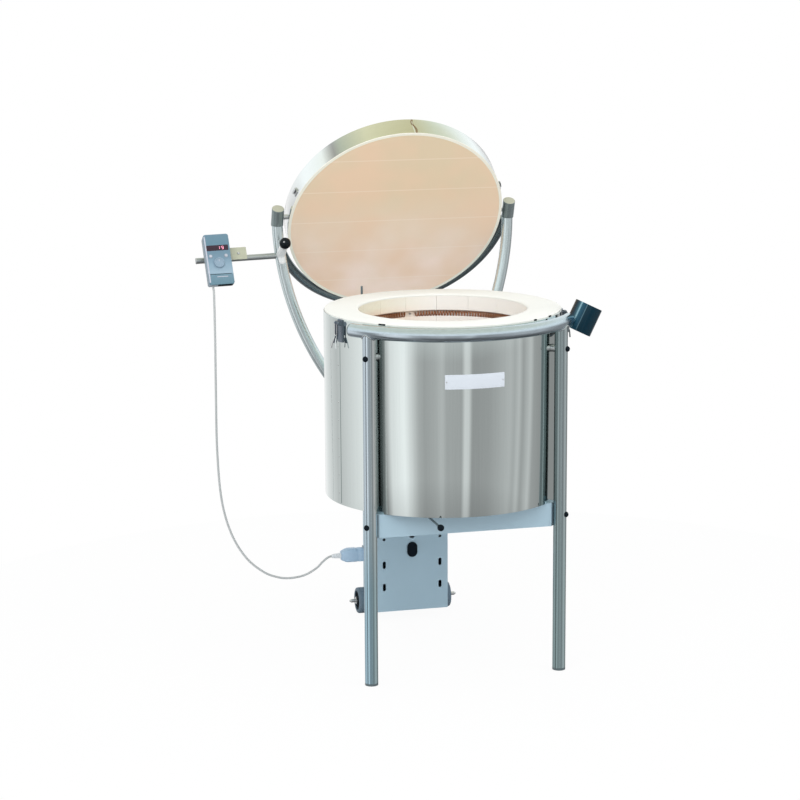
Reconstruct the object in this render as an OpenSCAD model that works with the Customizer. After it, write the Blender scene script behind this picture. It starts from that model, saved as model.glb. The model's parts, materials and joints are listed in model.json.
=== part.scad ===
// Electric top-loading kiln on a tube stand, shown with its lid open, in millimetres.
// X runs to the right, Y to the back and Z up; the floor is Z = 0 and the chamber axis is the Z axis.

/* [Body] */
// Outer diameter of the steel jacket
jacket_d = 610; // [590:1:630]
// Height of the jacket's lower edge above the floor
body_z = 440; // [425:1:460]
// Height of the body from its lower edge to the rim
body_h = 482; // [470:1:500]
// Thickness of the jacket sheet
jacket_t = 1.2; // [0.8:0.1:2]
// Diameter of the firing chamber
chamber_d = 432; // [400:1:440]
// Thickness of the brick wall
brick_t = 72; // [65:1:80]
// Number of bricks round the wall
brick_count = 16; // [14:2:18]
// Thickness of the brick floor
floor_t = 90; // [70:1:100]
// Thickness of the coat on the rim
rim_t = 6; // [4:0.5:8]
// Diameter of the air hole in the floor
vent_d = 40; // [25:1:45]

/* [Heating] */
// Number of element rows
element_rows = 6; // [4:1:6]
// Height of the lowest row above the chamber floor
element_lift = 38.3; // [32:0.1:44]
// Depth of the top row under the rim
element_drop = 51; // [48:1:65]
// Outer diameter of an element's coil
coil_d = 15; // [12:0.5:16]
// Diameter of the element wire
wire_d = 3; // [2:0.1:3.5]
// Number of curls in the top element
curls = 90; // [60:1:100]

/* [Stand] */
// Outer diameter of the leg and ring tube
tube_d = 33.7; // [30:0.1:36]
// Wall of the leg and ring tube
tube_t = 2.6; // [2:0.1:4]
// Gap between the legs and the jacket
leg_gap = 9; // [6:0.5:12]
// Angle of each leg from the front
leg_angle = 48.6; // [46:0.1:50]
// Angle of each ring end from the front
ring_angle = 58; // [55:0.5:60]
// Depth of the ring's centre line under the rim
ring_drop = 19; // [18:0.5:24]
// Height of the carrier pan
pan_h = 60; // [50:1:64]
// Thickness of the pan and column sheet
sheet_t = 2.5; // [2:0.1:3]
// Diameter of the end buffer
buffer_d = 72; // [66:1:76]
// Length of the end buffer
buffer_h = 73; // [66:1:78]

/* [Rear column] */
// Width of the rear column
column_w = 202; // [190:1:210]
// Depth of the rear column
column_d = 154; // [145:1:160]
// Height of the column's bottom above the floor
column_bottom = 28; // [24:1:32]
// Diameter of the wheels
wheel_d = 72; // [68:1:76]
// Width of the wheels
wheel_w = 25; // [22:1:28]
// Diameter of the axle
axle_d = 10; // [8:0.5:12]

/* [Lid] */
// Angle by which the lid stands open
lid_open = 57; // [50:0.5:60]
// Thickness of the lid
lid_t = 60; // [56:1:64]
// Outer diameter of the lid band
lid_d = 598; // [590:1:604]
// Gap between the closed lid and the rim
seal_gap = 1; // [0.5:0.1:2]
// Depth of the terminal cover behind the jacket
cover_d = 58; // [52:1:64]
// Distance of the hinge axis behind the terminal cover
hinge_gap = 28; // [24:1:34]
// Depth of the hinge axis under the rim
hinge_drop = 357; // [350:1:362]
// Height of the hinge axis above the column's top
hinge_rise = 35; // [33:0.5:40]
// Length of the hinge lugs up to the bow
lug_length = 75; // [70:0.5:82]
// Diameter of the hinge pin
pin_d = 14; // [12:0.5:16]
// Outer diameter of the bow tube
bow_d = 30; // [27:0.5:32]
// Wall of the bow tube
bow_t = 2; // [1.5:0.1:3]
// Half width of the bow between its arms
bow_a = 326; // [322:1:330]
// Radius of the bow's bottom arc
bow_r = 238; // [225:1:245]
// Diameter of the rest hoop's tube
hoop_d = 26; // [20:0.5:28]
// Width of a strip of lid bricks
lid_strip = 104.7; // [95:0.1:115]

/* [Controller] */
// Width of the controller
case_w = 69; // [64:1:76]
// Height of the controller
case_h = 146; // [138:1:152]
// Thickness of the controller
case_t = 32; // [28:1:36]
// Angle by which the controller leans back
case_lean = 31; // [28:0.5:34]
// Diameter of the controller bar
bar_d = 16; // [14:0.5:18]
// Diameter of the clamp's ball knob
ball_d = 31; // [28:0.5:33]
// Diameter of the control cable
cable_d = 6; // [5:0.1:7]

/* [Hidden] */
$fn = 48;
fit = 0.2;
running = 0.05;

jacket_r = jacket_d / 2;
chamber_r = chamber_d / 2;
lid_r = lid_d / 2;
rim_z = body_z + body_h;
board_r = jacket_r - jacket_t - 0.3;
brick_r = chamber_r + brick_t;
floor_plate_t = 1.5;
floor_z = body_z + floor_plate_t + fit;
floor_top = floor_z + floor_t;
floor_step = 12;
wall_z = floor_top - floor_step + fit;
brick_top = rim_z - rim_t - fit;
brick_joint = 0.16;

groove_r = coil_d / 2 + 2.5;
groove_at = chamber_r + 6;
coil_sink = groove_r - coil_d / 2 - 0.3;
element_pitch = (rim_z - floor_top - element_drop - element_lift) / (element_rows - 1);
function row_z(i) = rim_z - element_drop - i * element_pitch;
tail_x = -26;
tail_d = 6;
probe_x = 30;
probe_d = 8;
probe_z = (row_z(2) + row_z(3)) / 2;

leg_r = jacket_r + leg_gap + tube_d / 2;
leg_x = leg_r * sin(leg_angle);
leg_y = -leg_r * cos(leg_angle);
ring_z = rim_z - ring_drop;
bolt_high = rim_z - 84;
bolt_low = body_z - 29;
bolt_d = 8;
plug_d = tube_d - 2 * tube_t - 0.8;

column_y = jacket_r + 11;
column_back = column_y + column_d;
hinge_y = jacket_r + cover_d + hinge_gap;
hinge_z = rim_z - hinge_drop;
column_top = hinge_z - hinge_rise;
axle_y = column_back - 49;
axle_z = wheel_d / 2;
wheel_x = column_w / 2 + 6;

pan_r = leg_r - tube_d / 2 - 0.25;
pan_front = leg_y;
pan_corner = (pan_r + pan_front * cos(leg_angle)) / sin(leg_angle);
pan_chamfer = 26;
pan_points = [
    [-pan_corner, pan_front],
    [pan_corner, pan_front],
    [pan_corner + pan_chamfer * cos(leg_angle), pan_front + pan_chamfer * sin(leg_angle)],
    [column_w / 2, column_y - fit],
    [-column_w / 2, column_y - fit],
    [-pan_corner - pan_chamfer * cos(leg_angle), pan_front + pan_chamfer * sin(leg_angle)]
];
slide_x = -96;
slide_z = body_z - 16;
slide_plate_z = body_z - sheet_t - 4;
slide_t = 2;
slide_left = -113.5;
slide_right = 53.5;
slide_front = -100;
slide_back = 46;
slide_rod_d = 6;
slide_reach = 102;
rail_t = 3;
rail_l = 240;
rail_lip = 11;

lid_z = rim_z + seal_gap;
pivot_z = lid_z + lid_t / 2;
lug_rest = 1.95;
lug_angle = lid_open + lug_rest;
bow_low_y = hinge_y + lug_length * cos(lug_angle);
bow_low_z = hinge_z + lug_length * sin(lug_angle);
bow_b = norm([bow_low_y, pivot_z - bow_low_z]);
bow_dip = atan2(pivot_z - bow_low_z, bow_low_y);
bow_side_r = (bow_a * bow_a + bow_b * bow_b - 2 * bow_b * bow_r) / (2 * (bow_a - bow_r));
bow_turn = atan2(bow_b - bow_r, bow_side_r - bow_a);
bracket_w = 144;
bracket_t = 6;
cover_w = 156;
cover_t = 1.5;
hoop_r = lid_r + 25;
collar_d = bow_d + 3.4;
collar_l = 51;
collar_lean = 24;
collar_drop = 22;
latch_angle = 72;
latch_w = 13;
latch_z = rim_z - 14;
latch_r = jacket_r + 8.5;

// The open lid's pivot line and the arm at the clamp
arm_up = [0, hinge_y - cos(lid_open) * hinge_y + sin(lid_open) * (pivot_z - hinge_z),
          hinge_z + sin(lid_open) * hinge_y + cos(lid_open) * (pivot_z - hinge_z)];
arm_lean = bow_dip + lid_open;
clamp_drop = 104;
clamp_x = -(bow_a - bow_side_r + sqrt(bow_side_r * bow_side_r - clamp_drop * clamp_drop));
clamp_y = arm_up[1] + clamp_drop * cos(arm_lean);
clamp_z = arm_up[2] - clamp_drop * sin(arm_lean);
clamp_tilt = 61;
clamp_skew = 1.82;
stub_l = 69.8;
bar_end = -552;
case_x = -500;
case_back = 59;
case_rise = 23;
bar_roll = 1.5;
foot_slope = 12;
display_z = 24.6;
display_h = 16;
button_x = 21;
button_z = 9;
dial_z = -11;

socket_y = column_y + 64;
socket_z = 179;
plug_x = -column_w / 2 - 21;
plug_l = 64;
relief_l = 26;

switch_angle = 26.3;
switch_r = hoop_r - 2;
switch_top = rim_z - 17;

// Cable route: down from the controller, round under the leg's height and into the strain relief
cable_route = [
    [-521.5, 412.5, 939.5], [-521, 405.4, 927.5], [-521, 399.5, 906], [-521, 397, 790], [-522, 396, 660],
    [-522, 395, 495],
    [-513, 394, 358], [-489, 392, 262], [-450, 391, 191], [-404, 389, 148], [-364, 388, 129], [-328, 386, 124],
    [-288, 384, 130], [-256, 382, 147], [-238, 381, 164], [-226, 380, 174], [-216, 380, 178.6], [-204, 380, 179]
];
cable_steps = 5;

// Places a piece that is drawn with its outward side along -Y at an angle from the front
module round_body(angle) {
    rotate([0, 0, angle]) children();
}

// Turns a piece drawn on the closed lid into the open position
module lid_pose() {
    translate([0, hinge_y, hinge_z])
        rotate([-lid_open, 0, 0])
            translate([0, -hinge_y, -hinge_z])
                children();
}

// Places a piece drawn in the bow's own plane, with the pivots on X and the depth along +Y
module bow_plane() {
    translate([0, 0, pivot_z]) rotate([-bow_dip, 0, 0]) children();
}

// Places a piece drawn along X on the controller bar's line, from the arm's centre
module bar_pose() {
    translate([clamp_x, clamp_y, clamp_z]) rotate([0, -bar_roll, 0]) children();
}

// Places a piece drawn on the controller's face, with the face at Y = 0 and its middle at Z = 0
module controller_pose() {
    bar_pose()
        translate([case_x - clamp_x, 0, 0])
            rotate([-case_lean, 0, 0])
                translate([0, -case_back, -case_rise])
                    children();
}

// Places a piece drawn along Z on the clamp screw's line, from the arm's centre
module clamp_pose() {
    translate([clamp_x, clamp_y, clamp_z]) rotate([clamp_tilt, 0, 0]) rotate([0, -clamp_skew, 0]) children();
}

module along_x(d, x0, x1) {
    translate([x0, 0, 0]) rotate([0, 90, 0]) cylinder(d = d, h = x1 - x0);
}

module along_y(d, y0, y1) {
    translate([0, y0, 0]) rotate([-90, 0, 0]) cylinder(d = d, h = y1 - y0);
}

module ring(r_out, r_in, h) {
    rotate_extrude(angle = 360) translate([r_in, 0]) square([r_out - r_in, h]);
}

function unit(v) = v / norm(v);

// Inset of a convex outline that runs anticlockwise
function inset(p, d) = [
    for (i = [0:len(p) - 1])
        let (a = p[(i + len(p) - 1) % len(p)], b = p[i], c = p[(i + 1) % len(p)],
             u = unit(b - a), v = unit(c - b), m = [-u[1], u[0]], n = [-v[1], v[0]])
        b + d * (m + n) / (1 + m * n)
];

// Rings of points along a path, with one reference direction for each point
function tube_rings(path, refs, r, sides) = [
    for (i = [0:len(path) - 1])
        let (t = unit(path[min(i + 1, len(path) - 1)] - path[max(i - 1, 0)]),
             a = unit(refs[i] - (refs[i] * t) * t), b = cross(t, a))
        for (k = [0:sides - 1]) path[i] + r * (cos(360 * k / sides) * a + sin(360 * k / sides) * b)
];

function tube_faces(count, sides) = concat(
    [[for (k = [sides - 1:-1:0]) k]],
    [for (i = [0:count - 2]) for (k = [0:sides - 1])
        each [[i * sides + k, i * sides + (k + 1) % sides, (i + 1) * sides + k],
              [i * sides + (k + 1) % sides, (i + 1) * sides + (k + 1) % sides, (i + 1) * sides + k]]],
    [[for (k = [0:sides - 1]) (count - 1) * sides + k]]
);

module swept_tube(path, refs, d, sides) {
    polyhedron(points = tube_rings(path, refs, d / 2, sides), faces = tube_faces(len(path), sides));
}

function spline(p, i, t) =
    let (a = p[max(i - 1, 0)], b = p[i], c = p[i + 1], d = p[min(i + 2, len(p) - 1)])
    0.5 * (2 * b + (c - a) * t + (2 * a - 5 * b + 4 * c - d) * t * t + (3 * b - a - 3 * c + d) * t * t * t);

function smooth_path(p, steps) = concat(
    [for (i = [0:len(p) - 2]) for (k = [0:steps - 1]) spline(p, i, k / steps)],
    [p[len(p) - 1]]
);

// Stand

module leg_shape() {
    difference() {
        translate([0, leg_y, 6]) cylinder(d = tube_d, h = ring_z - 6);
        translate([0, leg_y, 5]) cylinder(d = tube_d - 2 * tube_t, h = ring_z);
    }
}

module leg(side) {
    color("silver")
        difference() {
            translate([side * leg_x, 0, 0]) leg_shape();
            ring_tube(tube_d + 2 * fit, 0, leg_angle + 8);
            for (z = [bolt_low, bolt_high])
                round_body(side * leg_angle) translate([0, 0, z]) along_y(bolt_d + 0.4, -leg_r - 30, -leg_r + 30);
        }
}

module left_leg() {
    leg(-1);
}

module right_leg() {
    leg(1);
}

module ring_tube(d_out, d_in, half_angle) {
    translate([0, 0, ring_z])
        rotate([0, 0, -90 - half_angle])
            rotate_extrude(angle = 2 * half_angle, $fn = 240)
                translate([leg_r, 0])
                    difference() {
                        circle(d = d_out, $fn = 48);
                        if (d_in > 0) circle(d = d_in, $fn = 48);
                    }
}

module front_ring() {
    color("gainsboro") ring_tube(tube_d, tube_d - 2 * tube_t, ring_angle);
}

module tube_plugs() {
    color("black") {
        for (side = [-1, 1])
            translate([side * leg_x, leg_y, 0]) {
                cylinder(d = tube_d, h = 5.8);
                cylinder(d = plug_d, h = 24);
            }
        round_body(-ring_angle)
            translate([0, -leg_r, ring_z]) {
                along_x(plug_d, -3, 14);
                along_x(tube_d - 1, -3, -fit);
            }
    }
}

module end_buffer() {
    color("midnightblue") {
        round_body(ring_angle)
            translate([0, -leg_r, ring_z]) {
                along_x(plug_d, -14, 4);
                translate([3, 0, 0]) rotate([0, 0, -35.4]) along_x(14, 0, 42);
            }
        translate([327.3, -154, rim_z - 19.9])
            rotate([0, 26, 0])
                translate([0, 0, -buffer_h / 2]) cylinder(d = buffer_d, h = buffer_h);
    }
}

module leg_spacers() {
    color("lightgray")
        for (side = [-1, 1])
            round_body(side * leg_angle)
                translate([0, 0, bolt_high])
                    difference() {
                        along_y(20, -leg_r, -jacket_r - 0.1);
                        along_y(bolt_d + 0.4, -leg_r - 1, -jacket_r + 5);
                        translate([0, -leg_r, -20]) cylinder(d = tube_d + fit, h = 40);
                    }
}

module leg_bolts() {
    color("black")
        for (side = [-1, 1])
            for (z = [bolt_low, bolt_high])
                round_body(side * leg_angle)
                    translate([0, 0, z]) {
                        along_y(bolt_d, -leg_r - tube_d / 2, z == bolt_high ? -jacket_r + 0.9 : -pan_r + 4);
                        translate([0, -leg_r - tube_d / 2 + 0.9, 0])
                            intersection() {
                                sphere(d = 15);
                                along_y(20, -10, -1);
                            }
                    }
}

module carrier_pan() {
    color("lightsteelblue")
        difference() {
            union() {
                translate([0, 0, body_z - sheet_t]) linear_extrude(sheet_t) polygon(pan_points);
                translate([0, 0, body_z - pan_h])
                    difference() {
                        linear_extrude(pan_h - sheet_t / 2) polygon(pan_points);
                        translate([0, 0, -1]) linear_extrude(pan_h + 2) polygon(inset(pan_points, sheet_t));
                    }
                for (x = [slide_left - 0.5 - rail_t, slide_right + 0.5])
                    translate([x, -rail_l / 2, slide_plate_z - rail_t - fit]) {
                        cube([rail_t, rail_l, rail_t + fit + body_z - slide_plate_z - sheet_t / 2]);
                        translate([x < 0 ? 0 : rail_t - rail_lip, 0, 0]) cube([rail_lip, rail_l, rail_t]);
                    }
            }
            translate([0, 0, body_z - sheet_t - 1]) cylinder(d = vent_d + 10, h = sheet_t + 2);
            translate([slide_x, 0, slide_z]) along_y(7, pan_front - 5, pan_front + 10);
            for (side = [-1, 1])
                round_body(side * leg_angle)
                    translate([0, 0, bolt_low]) along_y(bolt_d + 0.4, -pan_r - 5, -pan_r + 8);
        }
}

module slide_plate() {
    color("silver") {
        difference() {
            translate([slide_left, slide_front, slide_plate_z])
                cube([slide_right - slide_left, slide_back - slide_front, slide_t]);
            translate([0, 0, slide_plate_z - 1]) cylinder(d = vent_d + 6, h = slide_t + 2);
        }
        translate([slide_x - 9, slide_front, slide_z - 8]) cube([18, slide_t, slide_plate_z - slide_z + 8 + slide_t / 2]);
        translate([slide_x, 0, slide_z]) along_y(slide_rod_d, pan_front - slide_reach, slide_front + slide_t / 2);
    }
}

module slide_knob() {
    color("dimgray")
        translate([slide_x, pan_front - slide_reach - 6, slide_z])
            difference() {
                union() {
                    sphere(d = 17);
                    along_y(11, 0, 12);
                }
                along_y(slide_rod_d + fit, 6, 20);
            }
}

// Rear column

module column_front() {
    w = column_w / 2;
    color("lightsteelblue")
        difference() {
            translate([-w, column_y, column_bottom]) cube([column_w, column_d, column_top - column_bottom]);
            translate([-w + sheet_t, column_y + sheet_t, column_bottom - 1])
                cube([column_w - 2 * sheet_t, column_d, column_top - column_bottom + 1 - sheet_t]);
            for (side = [-1, 1]) {
                for (z = [97, 160])
                    translate([side * 79, 0, z]) {
                        translate([-4.5, column_y - 1, -6]) cube([9, 5, 12]);
                        for (end = [-6, 6]) translate([0, 0, end]) along_y(9, column_y - 1, column_y + 4);
                    }
                translate([side * 79, 0, 232]) along_y(8, column_y - 1, column_y + 4);
            }
            translate([0, 0, 240]) along_y(17, column_y - 1, column_y + 4);
            translate([0, 0, 200]) grommet_hole(24, 38, column_y - 1, column_y + 4);
            translate([0, axle_y, axle_z]) along_x(axle_d + 0.3, -w - 1, w + 1);
            translate([-w - 1, socket_y - 14, socket_z - 14]) cube([sheet_t + 2, 28, 28]);
        }
}

module grommet_hole(w, h, y0, y1) {
    for (end = [-1, 1]) translate([0, 0, end * (h - w) / 2]) along_y(w, y0, y1);
    translate([-w / 2, y0, -(h - w) / 2]) cube([w, y1 - y0, h - w]);
}

module column_cover() {
    w = column_w / 2 - sheet_t - fit;
    color("steelblue") {
        translate([-w, column_back - 2, column_bottom]) cube([2 * w, 2, column_top - column_bottom - sheet_t - fit]);
        translate([-w, column_y + sheet_t + fit, column_bottom])
            cube([2 * w, column_d - sheet_t - fit - 1, 2]);
    }
}

module cable_grommet() {
    color("black")
        translate([0, 0, 200]) {
            grommet_hole(23.6, 37.6, column_y - 2, column_y + sheet_t + 2);
            grommet_hole(28, 42, column_y - 3, column_y - 0.1);
        }
}

module contactor() {
    color("ivory") {
        translate([-35, column_y + sheet_t + 0.1, 380]) cube([70, 45, 82]);
        translate([-28, column_y + sheet_t + 0.1, 396]) cube([56, 70, 50]);
    }
}

module control_socket() {
    color("slategray")
        translate([0, socket_y, socket_z]) {
            translate([-column_w / 2 - 3.1, -21, -21]) cube([3, 42, 42]);
            translate([plug_x + fit, -18, -20]) cube([-column_w / 2 - plug_x - 1, 36, 40]);
            translate([-column_w / 2 - 1, -13.6, -13.6]) cube([20, 27.2, 27.2]);
        }
}

module control_plug() {
    color("lavender")
        translate([0, socket_y, socket_z])
            difference() {
                union() {
                    translate([plug_x - plug_l + 12, -16, -18]) cube([plug_l - 12, 32, 36]);
                    translate([plug_x - plug_l + 12, 0, 0])
                        rotate([0, -90, 0]) cylinder(d1 = 34, d2 = 24, h = 12);
                }
                along_x(14, plug_x - plug_l - 1, plug_x - plug_l + 10);
            }
}

module plug_relief() {
    color("white")
        translate([0, socket_y, socket_z])
            difference() {
                union() {
                    along_x(13.8, plug_x - plug_l - 1, plug_x - plug_l + 9.8);
                    translate([plug_x - plug_l, 0, 0]) rotate([0, -90, 0]) cylinder(d1 = 16, d2 = 10, h = relief_l);
                }
                along_x(cable_d + 0.6, plug_x - plug_l - relief_l - 1, plug_x - plug_l - 8);
                translate([plug_x - plug_l - relief_l - 0.1, 0, 0])
                    rotate([0, 90, 0]) cylinder(d1 = cable_d + 3, d2 = cable_d + 0.4, h = 7);
            }
}

module control_cable() {
    path = smooth_path(cable_route, cable_steps);
    color("lightgray") swept_tube(path, [for (p = path) [0, 1, 0]], cable_d, 8);
}

module axle() {
    tip = wheel_x + wheel_w + 21;
    color("silver")
        translate([0, axle_y, axle_z]) {
            along_x(axle_d, -tip + 5, tip - 5);
            for (side = [-1, 1]) {
                translate([side * (tip - 5), 0, 0]) rotate([0, side * 90, 0]) cylinder(d1 = axle_d, d2 = 4, h = 5);
                translate([side * (wheel_x + wheel_w + 1.9), 0, 0]) along_x(20, -1.5, 1.5);
                translate([side * (wheel_x - 2.9), 0, 0]) along_x(18, -2.6, 2.6);
            }
        }
}

module hub(side) {
    color("black")
        translate([side * (wheel_x + wheel_w / 2), axle_y, axle_z])
            difference() {
                union() {
                    along_x(wheel_d - 18.4, -wheel_w / 2 + 3, wheel_w / 2 - 3);
                    along_x(24, -wheel_w / 2, wheel_w / 2);
                }
                along_x(axle_d + 2 * running, -wheel_w, wheel_w);
            }
}

module tyre(side) {
    color("gray")
        translate([side * (wheel_x + wheel_w / 2), axle_y, axle_z])
            rotate([0, 90, 0])
                rotate_extrude(angle = 360)
                    polygon([
                        [wheel_d / 2 - 9, -wheel_w / 2], [wheel_d / 2 - 3, -wheel_w / 2],
                        [wheel_d / 2, -wheel_w / 2 + 3], [wheel_d / 2, wheel_w / 2 - 3],
                        [wheel_d / 2 - 3, wheel_w / 2], [wheel_d / 2 - 9, wheel_w / 2]
                    ]);
}

module left_hub() {
    hub(-1);
}

module left_tyre() {
    tyre(-1);
}

module right_hub() {
    hub(1);
}

module right_tyre() {
    tyre(1);
}

module hinge_bracket() {
    stop_top = hinge_z + 43 * sin(lug_angle - lid_open) - 12 / cos(lug_angle - lid_open) - 0.4;
    color("slategray")
        difference() {
            union() {
                translate([-bracket_w / 2, hinge_y - 46, column_top + 0.1]) cube([bracket_w, 110, bracket_t]);
                for (side = [-1, 1]) {
                    translate([side * 61 - 4, hinge_y - 20, column_top + 4]) cube([8, 40, hinge_rise - 4]);
                    translate([side * 61, hinge_y, hinge_z]) along_x(40, -4, 4);
                }
                translate([-46, hinge_y + 37, column_top + 4]) cube([92, 12, stop_top - column_top - 4]);
            }
            translate([0, hinge_y, hinge_z]) along_x(pin_d + 0.1, -80, 80);
        }
}

module hinge_pin() {
    color("silver")
        translate([0, hinge_y, hinge_z]) {
            along_x(pin_d, -69, 69);
            for (side = [-1, 1]) translate([side * 68, 0, 0]) along_x(pin_d + 8, -2.5, 2.5);
        }
}

// Body

module bottom_plate() {
    color("silver")
        translate([0, 0, body_z + 0.1])
            difference() {
                cylinder(r = board_r, h = floor_plate_t);
                translate([0, 0, -1]) cylinder(d = vent_d + 4, h = 5);
            }
}

module floor_brick() {
    color("wheat")
        translate([0, 0, floor_z])
            difference() {
                union() {
                    cylinder(r = board_r, h = floor_t - floor_step);
                    cylinder(r = chamber_r - 0.5, h = floor_t);
                }
                translate([0, 0, -1]) cylinder(d = vent_d, h = floor_t + 2);
            }
}

module feed_holes() {
    for (i = [0:element_rows - 1])
        translate([tail_x, 0, row_z(i) - coil_sink]) along_y(tail_d + 0.6, chamber_r - 10, jacket_r + 10);
    translate([probe_x, 0, probe_z]) along_y(probe_d + 0.6, chamber_r - 10, jacket_r + 10);
}

module wall_brick(i) {
    step = 360 / brick_count;
    rotate([0, 0, 90 - step / 2 + brick_joint / 2 + i * step])
        rotate_extrude(angle = step - brick_joint)
            difference() {
                translate([chamber_r, wall_z]) square([brick_t, brick_top - wall_z]);
                for (k = [0:element_rows - 1]) translate([groove_at, row_z(k)]) circle(r = groove_r);
            }
}

module wall_bricks() {
    color("moccasin") {
        difference() {
            wall_brick(0);
            feed_holes();
        }
        for (i = [1:brick_count - 1]) wall_brick(i);
    }
}

module backup_board(i) {
    step = 360 / brick_count;
    rotate([0, 0, 90 - step / 2 + brick_joint / 2 + i * step])
        rotate_extrude(angle = step - brick_joint)
            translate([brick_r + 0.3, wall_z]) square([board_r - brick_r - 0.3, brick_top - wall_z]);
}

module backup_boards() {
    color("whitesmoke") {
        difference() {
            backup_board(0);
            feed_holes();
        }
        for (i = [1:brick_count - 1]) backup_board(i);
    }
}

module rim_coat() {
    edge = 4;
    color("ivory")
        translate([0, 0, rim_z - rim_t])
            rotate_extrude(angle = 360)
                polygon([
                    [chamber_r, 0], [board_r, 0], [board_r, rim_t - edge], [board_r - 1.2, rim_t - 1.2],
                    [board_r - edge, rim_t], [chamber_r + 3, rim_t], [chamber_r, rim_t - 3]
                ]);
}

module jacket() {
    color("lightgray")
        difference() {
            union() {
                translate([0, 0, body_z + 0.05]) ring(jacket_r, jacket_r - jacket_t, body_h - rim_t + 1);
                translate([0, 0, body_z + 4])
                    rotate([0, 0, -90 - 76])
                        rotate_extrude(angle = 3)
                            translate([jacket_r - 0.5, 0]) square([1.5, body_h - 66]);
            }
            feed_holes();
            for (side = [-1, 1])
                round_body(side * leg_angle)
                    translate([0, 0, bolt_high]) along_y(bolt_d + 0.4, -jacket_r - 5, -jacket_r + 5);
        }
}

coil_from = 101;
coil_sweep = 352;
coil_r = (coil_d - wire_d) / 2;
curl_rings = 8;

function coil_angle(i) = coil_from + coil_sweep * i / (curls * curl_rings);
function coil_centre(i) = [groove_at * cos(coil_angle(i)), groove_at * sin(coil_angle(i)), row_z(0) - coil_sink];
function coil_out(i) =
    let (a = coil_angle(i), c = 360 * i / curl_rings)
    [cos(c) * cos(a), cos(c) * sin(a), sin(c)];
coil_body = [for (i = [0:curls * curl_rings]) coil_centre(i) + coil_r * coil_out(i)];
coil_refs = [for (i = [0:curls * curl_rings]) coil_out(i)];
coil_last = len(coil_body) - 1;
coil_head = coil_body[0] + wire_d * unit(coil_body[0] - coil_body[1]);
coil_tail = coil_body[coil_last] + wire_d * unit(coil_body[coil_last] - coil_body[coil_last - 1]);
coil_path = concat([coil_head], coil_body, [coil_tail]);
coil_gap = min([
    for (i = [0:coil_last]) for (k = [5:11])
        if (i + k <= coil_last) norm(coil_body[i + k] - coil_body[i]) - wire_d
]);
echo(least_coil_gap = coil_gap);

module top_element() {
    color("chocolate")
        swept_tube(coil_path, concat([coil_refs[0]], coil_refs, [coil_refs[coil_last]]), wire_d, 6);
}

module lower_elements() {
    color("chocolate")
        for (i = [1:element_rows - 1])
            translate([0, 0, row_z(i) - coil_sink])
                rotate_extrude(angle = 360) translate([groove_at, 0]) circle(d = coil_d);
}

module element_tails() {
    y0 = sqrt(pow(groove_at + coil_d / 2 + 0.3, 2) - tail_x * tail_x);
    for (i = [0:element_rows - 1])
        translate([tail_x, 0, row_z(i) - coil_sink]) {
            color("silver") along_y(tail_d, y0, jacket_r + 24);
            color("white")
                difference() {
                    translate([-10, jacket_r + 6, -9]) cube([20, 16, 18]);
                    along_y(tail_d + 0.4, jacket_r, jacket_r + 30);
                }
        }
}

module thermocouple() {
    color("white")
        translate([probe_x, 0, probe_z]) {
            along_y(probe_d, chamber_r - 22, jacket_r + 20);
            translate([0, jacket_r + 18, 0]) sphere(d = 22);
        }
}

module terminal_cover() {
    top = rim_z - 32;
    bottom = column_top + 14;
    color("lightgray")
        difference() {
            translate([-cover_w / 2, jacket_r - 20, bottom]) cube([cover_w, cover_d + 20, top - bottom]);
            translate([-cover_w / 2 + cover_t, jacket_r - 30, bottom + cover_t])
                cube([cover_w - 2 * cover_t, cover_d + 30 - cover_t, top - bottom - 2 * cover_t]);
            translate([0, 0, bottom - 1]) cylinder(r = jacket_r + fit, h = top - bottom + 2);
        }
}

module latch_base(side) {
    round_body(side * latch_angle)
        translate([0, 0, latch_z]) {
            translate([-latch_w / 2 - 4, -jacket_r - 2.9, -48]) cube([latch_w + 8, 2.5, 58]);
            for (x = [-latch_w / 2 - 3.3, latch_w / 2 + 0.3])
                translate([x, -latch_r, 0]) {
                    along_x(11, 0, 3);
                    translate([0, 0, -5.5]) cube([3, 7, 11]);
                }
            translate([0, -latch_r, 0]) along_x(5, -latch_w / 2 - 3.3, latch_w / 2 + 3.3);
        }
}

module latch_bases() {
    color("darkslategray")
        for (side = [-1, 1]) latch_base(side);
}

module latch_lever(side) {
    color("midnightblue")
        round_body(side * latch_angle)
            translate([0, -latch_r, latch_z])
                difference() {
                    union() {
                        along_x(10, -latch_w / 2, latch_w / 2);
                        translate([-latch_w / 2, -5, -34]) cube([latch_w, 3, 34]);
                        translate([-latch_w / 2, -5, -34])
                            rotate([-22, 0, 0]) translate([0, 0, -17]) cube([latch_w, 3, 18]);
                    }
                    along_x(5 + 2 * running, -20, 20);
                }
}

module left_latch() {
    latch_lever(-1);
}

module right_latch() {
    latch_lever(1);
}

module switch_body() {
    color("dimgray")
        round_body(180 + switch_angle)
            translate([0, -switch_r, switch_top - 56])
                difference() {
                    translate([-11, -10, 0]) cube([22, switch_r - jacket_r + 9.6, 56]);
                    translate([0, 0, 26]) cylinder(d = 6 + 2 * running, h = 40);
                }
}

module switch_plunger() {
    color("black")
        round_body(180 + switch_angle)
            translate([0, -switch_r, switch_top - 18]) cylinder(d = 6, h = pivot_z - hoop_d / 2 - switch_top + 17);
}

// Lid

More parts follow.
